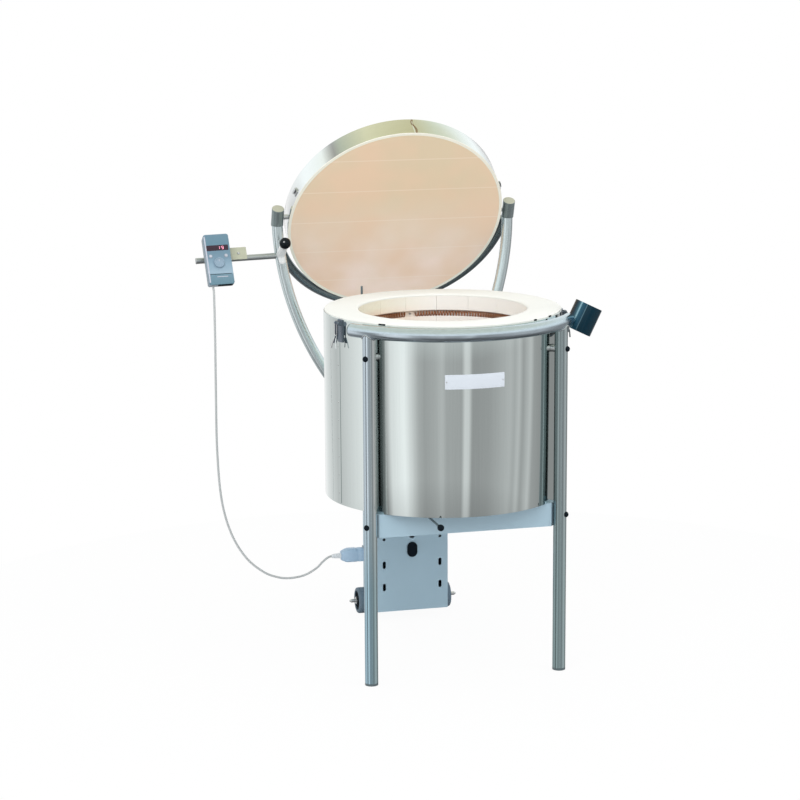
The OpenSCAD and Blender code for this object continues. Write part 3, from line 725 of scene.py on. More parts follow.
@dataclass(frozen=True)
class StreakedSteel(DrawnSteel):
    """A drawn finish of a round part with painted highlights, reflections and shade, laid out by the angle
    round its axis.
    """

    middle: Triple = (0.0, 0.0, 0.0)
    tilt: float = 0.0
    lean: float = 0.0
    # Painted highlights, reflections and shade, as stops of (degrees, colour)
    streaks: Stops = ()
    foot: Triple = (1.0, 1.0, 1.0)
    foot_from: float = 0.5
    foot_to: float = 0.25

    def dress(self, w: Wiring) -> None:
        """Lays painted light as colour by the angle round the part's own axis, arctan2(v, u), under the drawn
        lines.

        The axis stands upright and is then tilted about X or leant about Y, so from the middle
        u is x cos(lean) - z sin(lean) and v is y cos(tilt) + z sin(tilt).

        Args:
            w: the material's nodes.
        """
        super().dress(w)
        axes = w.axes("Object")
        x, y, z = (w.maths("ADD", axis, -place) for axis, place in zip(axes, self.middle))
        tilt, lean = math.radians(self.tilt), math.radians(self.lean)
        u = w.maths("ADD", w.maths("MULTIPLY", x, math.cos(lean)), w.maths("MULTIPLY", z, -math.sin(lean)))
        v = w.maths("ADD", w.maths("MULTIPLY", y, math.cos(tilt)), w.maths("MULTIPLY", z, math.sin(tilt)))
        angle = w.maths("MULTIPLY", w.maths("ARCTAN2", v, u), math.degrees(1))
        # Painted light multiplied onto the drawn steel
        with_painted_light = w.mix(1.0, w.colour, w.graded(angle, self.streaks), "MULTIPLY")
        low = w.span(axes[2], 0.0, 1.0, self.foot_from, self.foot_to)
        w.set("Base Color", w.mix(1.0, with_painted_light, w.mix(low, (1.0, 1.0, 1.0), self.foot), "MULTIPLY"))


@dataclass(frozen=True)
class Graded(Finish):
    """A finish whose colour changes with height."""

    stops: Stops = ()

    def dress(self, w: Wiring) -> None:
        """The plain finish with its colour from stops of (height, colour)."""
        super().dress(w)
        w.set("Base Color", w.graded(w.axes("Object")[2], self.stops))


@dataclass(frozen=True)
class Brick(Finish):
    """Soft insulating brick: pores, crumbs and a tint that changes with height."""

    tint: Triple = (0.9, 0.7, 0.55)
    tint_from: float = 0.0
    tint_to: float = 1.0
    cloud: float = 1.0

    def dress(self, w: Wiring) -> None:
        """Goes from base colour to tint by height, broken by clouds, with pores pressed in.

        Args:
            w: the material's nodes.
        """
        clouds = w.noise((14.0, 14.0, 14.0), 5.0)
        crumbs = w.noise((160.0, 160.0, 160.0))
        pores = w.node("ShaderNodeTexVoronoi", Scale=1.0, Vector=w.place((420.0, 420.0, 420.0)))
        along = w.span(w.axes("Object")[2], 0.0, 1.0, self.tint_from, self.tint_to)
        body = w.mix(along, self.colour, self.tint)
        broken = w.mix(w.span(clouds, 0.0, self.cloud), body, shade(self.colour, 1.04))
        speck = w.span(crumbs, 0.0, self.mottle * 2, 0.45, 0.75)
        w.set("Base Color", w.mix(speck, broken, shade(self.tint, 0.82)))
        w.set("Roughness", self.roughness)
        w.bump(w.span(pores.outputs["Distance"], 0.0, 1.0, 0.0, 0.5), self.relief, 0.0006)


@dataclass(frozen=True)
class WallBrick(Brick):
    """Brick of the chamber wall, made paler to the right by painted light."""

    # Colour of the painted light on the wall's right, and where along X it comes in
    lit: Triple = (1.0, 1.0, 0.97)
    lit_from: float = -0.13
    lit_to: float = 0.04

    def dress(self, w: Wiring) -> None:
        """Brick as elsewhere, then lightened along X by painted light.

        Args:
            w: the material's nodes.
        """
        super().dress(w)
        share = w.span(w.axes("Object")[0], 0.0, 0.95, self.lit_from, self.lit_to)
        w.set("Base Color", w.mix(share, w.colour, self.lit))


@dataclass(frozen=True)
class LaidBrick(Brick):
    """Long strips of brick side by side on the lid's face, with faint pale joints and pink patches."""

    width: float = 2.0
    course: float = 0.1047
    joint: float = 0.0026
    blush: Triple = (0.90, 0.655, 0.47)

    def dress(self, w: Wiring) -> None:
        """Brick as elsewhere, with patches, and joints laid out on the lid as if it were closed.

        Args:
            w: the material's nodes.
        """
        super().dress(w)
        closing = np.linalg.inv(PLAN.lid_pose)
        shift = tuple(closing[:3, 3] + [self.width / 4, 0, 0])
        joints = w.node("ShaderNodeTexBrick", offset=0.5, Scale=1.0, Mortar_Size=self.joint,
                        Mortar_Smooth=0.8, Brick_Width=self.width, Row_Height=self.course,
                        Vector=w.place(turn=(PLAN.lid_open, 0.0, 0.0), shift=shift))
        patches = w.span(w.noise((5.5, 5.5, 5.5), 2.0), 0.0, 0.75, 0.42, 0.66)
        body = w.mix(patches, w.colour, self.blush)
        pale = w.span(joints.outputs["Fac"], 0.0, 0.36, 0.0, 1.0)
        w.set("Base Color", w.mix(pale, body, shade(self.tint, 1.05)))


@dataclass(frozen=True)
class Window(Finish):
    """A dark display window."""

    def dress(self, w: Wiring) -> None:
        """Near black with a slow change in gloss.

        Args:
            w: the material's nodes.
        """
        haze = w.noise((60.0, 60.0, 60.0), 2.0)
        w.set("Base Color", w.ramp(haze, ((0.3, self.colour), (0.7, shade(self.colour, 1.5)))))
        w.set("Roughness", w.span(haze, 0.05, 0.12))


@dataclass(frozen=True)
class Glow(Finish):
    """A lit digit."""

    def dress(self, w: Wiring) -> None:
        """Gives the colour its own light, uneven across each bar.

        Args:
            w: the material's nodes.
        """
        speck = w.noise((700.0, 700.0, 700.0), 1.0)
        colour = w.ramp(speck, ((0.3, shade(self.colour, 0.85)), (0.7, self.colour)))
        w.set("Base Color", colour)
        w.set("Emission Color", colour)
        w.set("Emission Strength", 1.0)


# Painted light, as stops of (degrees round the part from its right side, anticlockwise from above, colour)
# Painted reflection of the white room, on the lid's band
PAINTED_ROOM_REFLECTION = (0.98, 1.0, 1.0)
# The lid band's painted reflections of the room, darker where a dark part of the room is mirrored
BAND_PAINTED_REFLECTIONS = (
    (-180, PAINTED_ROOM_REFLECTION), (-138, PAINTED_ROOM_REFLECTION), (-131, (0.42, 0.42, 0.44)), (-127, (0.55, 0.60, 0.55)),
    (-112, (0.86, 0.85, 0.67)), (-88, (0.70, 0.67, 0.48)), (-76, (0.75, 0.80, 0.70)), (-50, PAINTED_ROOM_REFLECTION),
    (180, PAINTED_ROOM_REFLECTION))
# The legs': painted highlights and painted reflections, with painted shade on the side that faces the jacket
LEFT_LEG_PAINTED_LIGHT = (
    (-180, (0.60, 0.70, 0.78)), (-122, (0.66, 0.76, 0.83)), (-104, (0.55, 0.65, 0.70)),
    (-84, (0.54, 0.61, 0.63)), (-60, (0.92, 0.95, 0.94)), (-12, (0.30, 0.33, 0.33)),
    (20, (0.12, 0.13, 0.13)), (52, (0.40, 0.43, 0.43)), (180, (0.60, 0.70, 0.78)))
RIGHT_LEG_PAINTED_LIGHT = (
    (-180, (0.30, 0.37, 0.38)), (-124, (0.30, 0.37, 0.38)), (-103, (0.49, 0.59, 0.61)),
    (-92, (0.40, 0.48, 0.50)), (-58, (0.70, 0.80, 0.82)), (-14, (0.34, 0.40, 0.41)),
    (95, (0.78, 0.80, 0.80)), (150, (0.08, 0.10, 0.10)), (180, (0.30, 0.37, 0.38)))
# The buffer drum's: painted highlights and a painted pale line on dark plastic
DRUM_PAINTED_HIGHLIGHTS = (
    (-180, (0.003, 0.014, 0.02)), (-160, (0.008, 0.03, 0.05)), (-147, (0.04, 0.12, 0.16)),
    (-141, (0.30, 0.50, 0.57)), (-136, (0.02, 0.09, 0.14)), (-119, (0.005, 0.045, 0.08)),
    (-116.5, (0.10, 0.19, 0.23)), (-114, (0.001, 0.024, 0.042)), (180, (0.003, 0.014, 0.02)))

JACKET = DrawnSteel("jacket_steel", (0.745, 0.81, 0.80), 0.055, 1.0, "jacket_steel", mottle=0.02,
                    relief=0.008)
BAND = DrawnSteel("band_steel", (0.87, 0.89, 0.82), 0.12, 1.0, "jacket_steel", mottle=0.02, relief=0.01,
                  along=(6.0, 300.0, 300.0))
# The band's colour round the lid is painted reflections of the room, from the stops above
LID_BAND = StreakedSteel("lid_band_steel", (0.97, 0.97, 0.97), 0.12, 1.0, "jacket_steel", mottle=0.02,
                         relief=0.01, along=(6.0, 300.0, 300.0), middle=PLAN.lid_middle, tilt=-PLAN.lid_open,
                         streaks=BAND_PAINTED_REFLECTIONS)
# Each leg's colour round it is painted highlights, painted reflections and painted shade, from the stops
# above
LEFT_TUBE = StreakedSteel("left_tube", (0.95, 0.95, 0.95), 0.15, 1.0, "tube_steel", relief=0.008,
                          along=(220.0, 220.0, 2.5), middle=PLAN.leg(Side.LEFT), streaks=LEFT_LEG_PAINTED_LIGHT,
                          foot=(0.64, 0.80, 0.85))
RIGHT_TUBE = StreakedSteel("right_tube", (0.95, 0.95, 0.95), 0.15, 1.0, "tube_steel", relief=0.008,
                           along=(220.0, 220.0, 2.5), middle=PLAN.leg(Side.RIGHT), streaks=RIGHT_LEG_PAINTED_LIGHT,
                           foot=(0.92, 1.0, 1.0))
BOW_TUBE = DrawnSteel("bow_steel", (0.72, 0.81, 0.83), 0.22, 1.0, "tube_steel", relief=0.01,
                      along=(160.0, 160.0, 2.0))
RING_TUBE = DrawnSteel("ring_steel", (0.60, 0.69, 0.76), 0.20, 1.0, "tube_steel", relief=0.02,
                       along=(60.0, 60.0, 300.0))
BAR = DrawnSteel("bar_steel", (0.52, 0.55, 0.56), 0.34, 1.0, "tube_steel", mottle=0.06, relief=0.03,
                 along=(5.0, 260.0, 260.0))
# The drum's colour round its axis is painted highlights, from the stops above
DRUM = StreakedSteel("drum_gloss", (0.97, 0.97, 0.97), 0.14, 0.0, "navy_plastic", mottle=0.04, relief=0.004,
                     specular=0.22, middle=PLAN.buffer_at, lean=PLAN.buffer_lean, streaks=DRUM_PAINTED_HIGHLIGHTS)
ZINC = Finish("zinc_plate", (0.66, 0.67, 0.68), 0.32, 1.0, "plated_steel", mottle=0.10, relief=0.08)
WELD = Finish("weld_steel", (0.60, 0.62, 0.64), 0.38, 1.0, "tube_steel", grain=260.0, mottle=0.15, relief=0.6)
PAN_COAT = Finish("pan_coat", (0.385, 0.53, 0.62), 0.42, 0.0, "pan_paint", grain=700.0, mottle=0.02,
                  relief=0.12)
SLATE = Finish("slate_coat", (0.10, 0.135, 0.147), 0.32, 0.0, "dark_paint", mottle=0.10, coat=0.3)
HOOP = Finish("hoop_coat", (0.25, 0.30, 0.32), 0.24, 0.9, "dark_paint", mottle=0.06)
LATCH_BASE = Finish("latch_base_steel", (0.22, 0.26, 0.31), 0.30, 0.8, "dark_paint", grain=260.0, mottle=0.3,
                    relief=0.6)
LATCH = Finish("latch_steel", (0.10, 0.125, 0.16), 0.28, 0.8, "dark_paint", grain=260.0, mottle=0.35,
               relief=0.8)
SATIN = Finish("satin_silver", (0.90, 0.92, 0.92), 0.38, 0.25, "plated_steel", mottle=0.03)
SILVER_TIP = Finish("silver_tip", (0.78, 0.79, 0.80), 0.2, 1.0, "plated_steel")
BLACK = Finish("black_mould", (0.004, 0.008, 0.013), 0.45, 0.0, "black_plastic", mottle=0.15, specular=0.08)
BALL_BLACK = Finish("knob_black", (0.002, 0.003, 0.004), 0.07, 0.0, "navy_plastic", mottle=0.10, relief=0.01,
                    specular=0.15)
GREY = Finish("grey_mould", (0.30, 0.36, 0.41), 0.45, 0.0, "grey_plastic", mottle=0.03)
DIAL_CAP = Finish("dial_grey", (0.27, 0.37, 0.46), 0.5, 0.0, "grey_plastic", mottle=0.04, specular=0.3)
COLLAR = Finish("collar_grey", (0.29, 0.345, 0.35), 0.30, 0.75, "grey_plastic", mottle=0.06)
CREAM_CAP = Finish("cap_cream", (0.46, 0.46, 0.35), 0.5, 0.0, "pale_plastic")
PALE = Finish("pale_mould", (0.50, 0.53, 0.60), 0.42, 0.0, "pale_plastic", mottle=0.03)
PLUG_BLUE = Finish("plug_mould", (0.42, 0.58, 0.74), 0.42, 0.0, "pale_plastic", mottle=0.03)
RELIEF_WHITE = Finish("relief_mould", (0.78, 0.81, 0.83), 0.45, 0.0, "pale_plastic", mottle=0.03)
TREAD = Finish("tread_rubber", (0.135, 0.19, 0.24), 0.62, 0.0, "tread", grain=500.0, mottle=0.10, relief=0.4)
SHEATH = Finish("cable_sheath", (0.52, 0.54, 0.54), 0.45, 0.0, "cable_sheath", mottle=0.04)
RIM = Finish("rim_coat", (0.85, 0.855, 0.81), 0.85, 0.0, "coat", grain=240.0, mottle=0.02, specular=0.2)
EDGE = Finish("edge_coat", (0.90, 0.88, 0.77), 0.8, 0.0, "coat", grain=240.0, mottle=0.02, relief=0.1,
              specular=0.2)
FIBRE = Finish("fibre_board", (0.86, 0.85, 0.82), 0.9, 0.0, "fibre", grain=300.0, relief=0.4, specular=0.2)
WALL = WallBrick("wall_brick", (0.93, 0.91, 0.75), 0.9, 0.0, "wall_brick", mottle=0.06, relief=0.25,
                 specular=0.15, tint=(0.94, 0.74, 0.58), tint_from=0.898, tint_to=0.872, cloud=0.3)
LID_EDGE = Brick("lid_brick", (0.84, 0.66, 0.50), 0.9, 0.0, "lid_brick", mottle=0.06, relief=0.2,
                 specular=0.15, tint=(0.86, 0.60, 0.46), tint_from=1.30, tint_to=0.90)
# The lighter tint towards the face's lower edge is painted bounce light from below
LID_FACE = LaidBrick("lid_face", (0.80, 0.657, 0.464), 0.9, 0.0, "lid_brick", mottle=0.03, relief=0.12,
                     specular=0.1, tint=(1.0, 0.82, 0.72), tint_from=1.17, tint_to=0.95, cloud=0.3)
SEAM = Finish("seam_line", (0.25, 0.17, 0.09), 0.4, 0.4, "jacket_steel", mottle=0.15)
ELEMENT = Finish("element_wire", (0.46, 0.20, 0.10), 0.55, 0.6, "element_wire", grain=1400.0, mottle=0.25,
                 relief=0.3)
CERAMIC = Finish("ceramic", (0.82, 0.80, 0.75), 0.4, 0.0, "ceramic")
OLIVE = Finish("bracket_coat", (0.47, 0.485, 0.365), 0.5, 0.0, "bracket_paint", mottle=0.04)
PLATE = Finish("bare_plate", (0.68, 0.73, 0.79), 0.30, 0.0, "jacket_steel", mottle=0.02, relief=0.05)
WINDOW = Window("display_window", (0.020, 0.004, 0.018), 0.08, 0.0, "window", coat=0.3)
DIGIT = Glow("display_digit", (1.0, 0.36, 0.50), 0.4, 0.0, "window")


class Workshop:
    """Keeps built finishes and turns surfaces into pieces of the kiln."""

    def __init__(self, frame: dict) -> None:
        """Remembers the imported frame."""
        self.frame = frame
        self.made: dict[str, bpy.types.Material] = {}

    def material(self, finish: Finish) -> bpy.types.Material:
        """The material of a finish, built once.

        Args:
            finish: what it looks like.

        Returns:
            The material.
        """
        if finish.name not in self.made:
            self.made[finish.name] = finish.build()
        return self.made[finish.name]

    def piece(self, name: str, shell: Shell, finish: Finish, part: Part, replaces: tuple[str, ...] = (),
              crease: float = 35.0) -> bpy.types.Object:
        """Makes a piece of the kiln.

        Args:
            name: the piece's name.
            shell: its surface.
            finish: what it looks like.
            part: the body it rides on.
            replaces: CAD nodes that it stands for.
            crease: angle in degrees past which an edge stays sharp.

        Returns:
            The new object.
        """
        made = self.loose(name, shell, finish, crease)
        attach(made, part.value)
        if replaces:
            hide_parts(*replaces)
        return made

    def loose(self, name: str, shell: Shell, finish: Finish, crease: float = 35.0) -> bpy.types.Object:
        """Makes a mesh object that rides on nothing yet.

        Args:
            name: the object's name.
            shell: its surface.
            finish: what it looks like.
            crease: angle in degrees past which an edge stays sharp.

        Returns:
            The new object.
        """
        mesh = bpy.data.meshes.new(name)
        mesh.from_pydata(shell.points.tolist(), [], shell.quads.tolist() + shell.caps)
        mesh.validate()
        mesh.shade_smooth()
        mesh.set_sharp_from_angle(angle=math.radians(crease))
        made = bpy.data.objects.new(name, mesh)
        bpy.context.scene.collection.objects.link(made)
        mesh.materials.append(self.material(finish))
        LOG.info("piece %s: %d points", name, len(shell.points))
        return made

    def heads(self, name: str, head: Shell, finish: Finish, places: list[np.ndarray]) -> None:
        """Makes copies of a head or slot on the fixed body, as one piece.

        Args:
            name: the piece's name.
            head: one of them, drawn about Z.
            finish: what they look like.
            places: where each one goes.
        """
        self.piece(name, joined([head.moved(place) for place in places]), finish, Part.KILN)

    def dress(self, finish: Finish, *nodes: str) -> None:
        """Gives CAD nodes whose shape is right a finish.

        Args:
            finish: what they look like.
            nodes: the nodes' names.
        """
        for node in nodes:
            made = self.frame["nodes"][node]
            made.data.materials.clear()
            made.data.materials.append(self.material(finish))
            LOG.info("node %s: %s", node, finish.name)


@dataclass
class Stage:
    """Camera, floor, world and lamps."""

    target: Triple = (-0.10675, 0.02758, 0.67837)
    azimuth: float = 14.485
    pitch: float = 11.274
    roll: float = -0.298
    distance: float = 6.3744
    focal_px: float = 2468.34
    frame_px: float = 800.0
    sensor_mm: float = 36.0
    far: float = 100.0
    # Brightness of the room's walls by degrees from the front, to the right
    walls: Profile = (
        (-180, 0.95), (-139, 0.60), (-98, 0.94), (-85, 0.30), (-74, 0.28), (-67, 0.86), (-53, 1.05),
        (-39, 0.50), (-33, 0.42), (-22, 0.48), (-16, 0.57), (-12, 0.45), (3, 0.43), (6, 0.76), (10, 0.70),
        (13, 0.36), (30, 0.39), (53, 0.55), (58, 0.47), (63, 0.60), (68, 0.40), (78, 0.62), (83, 0.40),
        (103, 0.30), (128, 0.30), (142, 0.60), (180, 0.95))
    # Brightness and colour of the room by the sine of the angle above the horizon
    gloom: Profile = ((-1.0, 0.30), (-0.75, 0.34), (-0.4222, 1.0), (1.0, 1.0))
    dome: Stops = ((-1.0, (0.92, 0.97, 0.97)), (0.3, (0.95, 1.0, 1.0)), (0.5, (0.90, 0.95, 0.92)),
                   (0.7, (0.82, 0.84, 0.74)), (1.0, (0.77, 0.79, 0.67)))
    dome_from: float = -0.05
    dome_to: float = 0.25
    # Light that matt surfaces get from the room
    soft: Triple = (0.97, 0.985, 1.0)
    soft_strength: float = 0.72
    floor_r: float = 1.6
    floor_z: float = -0.0005
    floor_white: float = 0.95

    def camera(self) -> None:
        """Sets the camera from its angles, with no shift."""
        az, pitch, roll = (math.radians(v) for v in (self.azimuth, self.pitch, self.roll))
        level = math.cos(pitch)
        forward = np.array([math.sin(az) * level, math.cos(az) * level, -math.sin(pitch)])
        flat = np.array([math.cos(az), -math.sin(az), 0.0])
        over = np.cross(flat, forward)
        right = flat * math.cos(roll) + over * math.sin(roll)
        up = over * math.cos(roll) - flat * math.sin(roll)
        eye = np.array(self.target) - forward * self.distance
        data = bpy.data.cameras.new("camera")
        data.sensor_width = self.sensor_mm
        data.lens = self.focal_px * self.sensor_mm / self.frame_px
        data.clip_end = self.far
        made = bpy.data.objects.new("camera", data)
        bpy.context.scene.collection.objects.link(made)
        pose = np.vstack([np.column_stack([right, up, -forward, eye]), [0, 0, 0, 1]])
        made.matrix_world = Matrix(pose.tolist())
        bpy.context.scene.camera = made

    def world(self) -> None:
        """A white room: white to the eye, soft on matt surfaces, and banded by windows and walls in metal."""
        world = bpy.data.worlds.new("studio")
        bpy.context.scene.world = world
        world.use_nodes = True
        world.node_tree.nodes.clear()
        w = Nodes(world.node_tree)
        x, y, z = w.axes("Generated")
        direction = w.maths("ARCTAN2", x, w.maths("MULTIPLY", y, -1.0))
        walls = w.graded(w.maths("MULTIPLY", direction, math.degrees(1)), greys(self.walls))
        above = w.span(z, 0.0, 1.0, self.dome_from, self.dome_to)
        room = w.mix(above, walls, w.graded(z, self.dome))
        room = w.mix(1.0, room, w.graded(z, greys(self.gloom)), "MULTIPLY")
        soft = w.node("ShaderNodeBackground", Color=self.soft, Strength=self.soft_strength)
        metal = w.node("ShaderNodeBackground", Color=room, Strength=1.0)
        seen = w.node("ShaderNodeBackground", Color=(1.0, 1.0, 1.0), Strength=1.0)
        rays = w.node("ShaderNodeLightPath").outputs
        shiny = w.maths("MAXIMUM", rays["Is Glossy Ray"], rays["Is Transmission Ray"])
        lit = w.shaders(shiny, soft.outputs[0], metal.outputs[0])
        w.node("ShaderNodeOutputWorld", Surface=w.shaders(rays["Is Camera Ray"], lit, seen.outputs[0]))

    def floor(self) -> None:
        """A pale round floor that keeps a light shadow; metal sees the room below it instead."""
        shell = lathe(((0.0, 0.0), (self.floor_r / 2, 0.0), (self.floor_r, 0.0)))
        mesh = bpy.data.meshes.new("floor")
        mesh.from_pydata(shell.points.tolist(), [], shell.quads.tolist())
        mesh.validate()
        made = bpy.data.objects.new("floor", mesh)
        bpy.context.scene.collection.objects.link(made)
        made.location.z = self.floor_z
        w = Wiring("floor_white")
        w.set("Base Color", (0.9, 0.9, 0.9))
        w.set("Roughness", 0.9)
        glow = w.node("ShaderNodeEmission", Color=(1.0, 1.0, 1.0), Strength=1.0)
        seen = w.node("ShaderNodeLightPath").outputs["Is Camera Ray"]
        share = w.maths("MULTIPLY", seen, self.floor_white)
        mixed = w.shaders(share, w.shader.outputs[0], glow.outputs[0])
        w.feed(mixed, w.tree.nodes["Material Output"].inputs["Surface"])
        mesh.materials.append(w.material)
        made.visible_glossy = False

    def lamp(self, name: str, place: Triple, aim: Triple, size: float, power: float) -> bpy.types.Object:
        """Adds a square soft lamp at a place, turned to an aim.

        Args:
            name: the lamp's name.
            place: where it is.
            aim: the point that it faces.
            size: its width.
            power: its strength.

        Returns:
            The new lamp.
        """
        data = bpy.data.lights.new(name, "AREA")
        data.size, data.energy = size, power
        made = bpy.data.objects.new(name, data)
        bpy.context.scene.collection.objects.link(made)
        back = unit(np.array(place, float) - np.array(aim, float))
        side = unit(np.cross(ALONG_Z, back))
        turn = Matrix(np.column_stack([side, np.cross(back, side), back]).tolist())
        made.matrix_world = Matrix.Translation(place) @ turn.to_4x4()
        made.visible_glossy = False
        return made

    def glint(self, name: str, place: Triple, size: float, power: float, piece: str) -> None:
        """Adds a bright lamp that lights one piece only and shows in its gloss.

        Args:
            name: the lamp's name.
            place: where it is.
            size: its width.
            power: its strength.
            piece: the name of the piece that it lights.
        """
        target = bpy.data.objects[piece]
        middle = sum((Vector(corner) for corner in target.bound_box), Vector()) / 8
        made = self.lamp(name, place, tuple(middle), size, power)
        made.visible_glossy = True
        made.visible_camera = False
        only = bpy.data.collections.new(name)
        only.objects.link(target)
        made.light_linking.receiver_collection = only

    def build(self) -> None:
        """Makes the camera first, then light and floor."""
        self.camera()
        self.world()
        self.floor()
        self.lamp("key", place=(-2.2, -3.0, 3.4), aim=(0, 0, 0.8), size=2.8, power=75.0)
        self.lamp("fill", place=(2.6, -2.6, 2.4), aim=(0, 0, 0.7), size=2.6, power=32.0)
        self.lamp("top", place=(0.2, 0.3, 4.0), aim=(0, 0.1, 0.8), size=2.4, power=22.0)
        bpy.context.scene.view_settings.view_transform = "Standard"


# Assemblies


@dataclass
class ControlCable:
    """The control cable, its plug and strain relief."""

    shop: Workshop
    route: tuple[Triple, ...] = (
        (-0.5215, 0.4125, 0.9395), (-0.521, 0.4054, 0.9275), (-0.521, 0.3995, 0.906), (-0.521, 0.397, 0.790),
        (-0.522, 0.396, 0.660), (-0.522, 0.395, 0.495), (-0.513, 0.394, 0.358), (-0.489, 0.392, 0.262),
        (-0.450, 0.391, 0.191), (-0.404, 0.389, 0.148), (-0.364, 0.388, 0.129), (-0.328, 0.386, 0.124),
        (-0.288, 0.384, 0.130), (-0.256, 0.382, 0.147), (-0.238, 0.381, 0.164), (-0.226, 0.380, 0.174),
        (-0.216, 0.380, 0.1786), (-0.204, 0.380, 0.179))
    radius: float = 0.003
    socket: Triple = (-0.122, 0.380, 0.179)
    plug_w: float = 0.032
    plug_h: float = 0.036
    plug_corner: float = 0.008
    # Ways out from the socket, and the share of the plug's section there
    plug_stations: Profile = ((0.0, 0.92), (0.004, 1.0), (0.016, 1.0), (0.018, 0.93), (0.021, 1.0),
                              (0.046, 1.0), (0.052, 0.95), (0.058, 0.80), (0.0638, 0.66))
    rib: Triple = (0.003, 0.024, 0.0012)
    rib_count: int = 4
    rib_from: float = 0.026
    rib_pitch: float = 0.006
    rib_sink: float = 0.0006
    relief_from: float = 0.064
    relief_l: float = 0.026
    relief_r: float = 0.0078
    relief_taper: float = 0.0030
    relief_rings: int = 6
    relief_wave: float = 0.0006
    relief_mouth: float = 0.006

    def build(self) -> None:
        """Makes the plug, its relief and the cable between them and the controller."""
        plug = self.plug()
        relief = self.relief()
        path = spline(np.array(self.route), 10)
        cable = self.shop.loose("cable", sweep(path, circle(self.radius, 12), ALONG_Y), SHEATH)
        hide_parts("control_cable")
        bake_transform(cable)

    def plug(self) -> bpy.types.Object:
        """A moulded plug along X: a stack of rounded sections with grip ribs and a rear shoulder.

        Returns:
            The plug.
        """
        out, share = np.array(self.plug_stations[::-1]).T
        flat = outline(self.plug_w, self.plug_h, self.plug_corner, 5)[None] * share[:, None, None]
        depth = np.broadcast_to(-out[:, None, None], flat.shape[:2] + (1,))
        body = stacked(np.concatenate([depth, flat], -1))
        rib = block(*self.rib, corner=0.001, edge=0.0005, steps=3)
        top = self.plug_h / 2 - self.rib_sink
        spots = [-self.rib_from - self.rib_pitch * k for k in range(self.rib_count)]
        ribs = [rib.moved(shifted(x, 0, top)) for x in spots]
        shell = joined([body, *ribs]).moved(shifted(*self.socket))
        return self.shop.piece("plug", shell, PLUG_BLUE, Part.KILN, ("control_plug",))

    def relief(self) -> bpy.types.Object:
        """A tapered strain relief with rings, turned about X.

        Returns:
            The strain relief.
        """
        s = np.linspace(0, 1, 25)
        wave = self.relief_wave * np.sign(np.sin(2 * np.pi * self.relief_rings * s))
        sleeve = np.stack([self.relief_r - self.relief_taper * s + wave, self.relief_l * s], -1)
        bore = self.radius + GAP
        mouth = [[bore, self.relief_l], [bore, self.relief_l - self.relief_mouth]]
        shell = lathe(np.concatenate([[[0.0, 0.0]], sleeve, mouth]), 24)
        place = shifted(*self.socket) @ shifted(-self.relief_from, 0, 0) @ turned(y=-90)
        return self.shop.piece("strain_relief", shell.moved(place), RELIEF_WHITE, Part.KILN, ("plug_relief",))


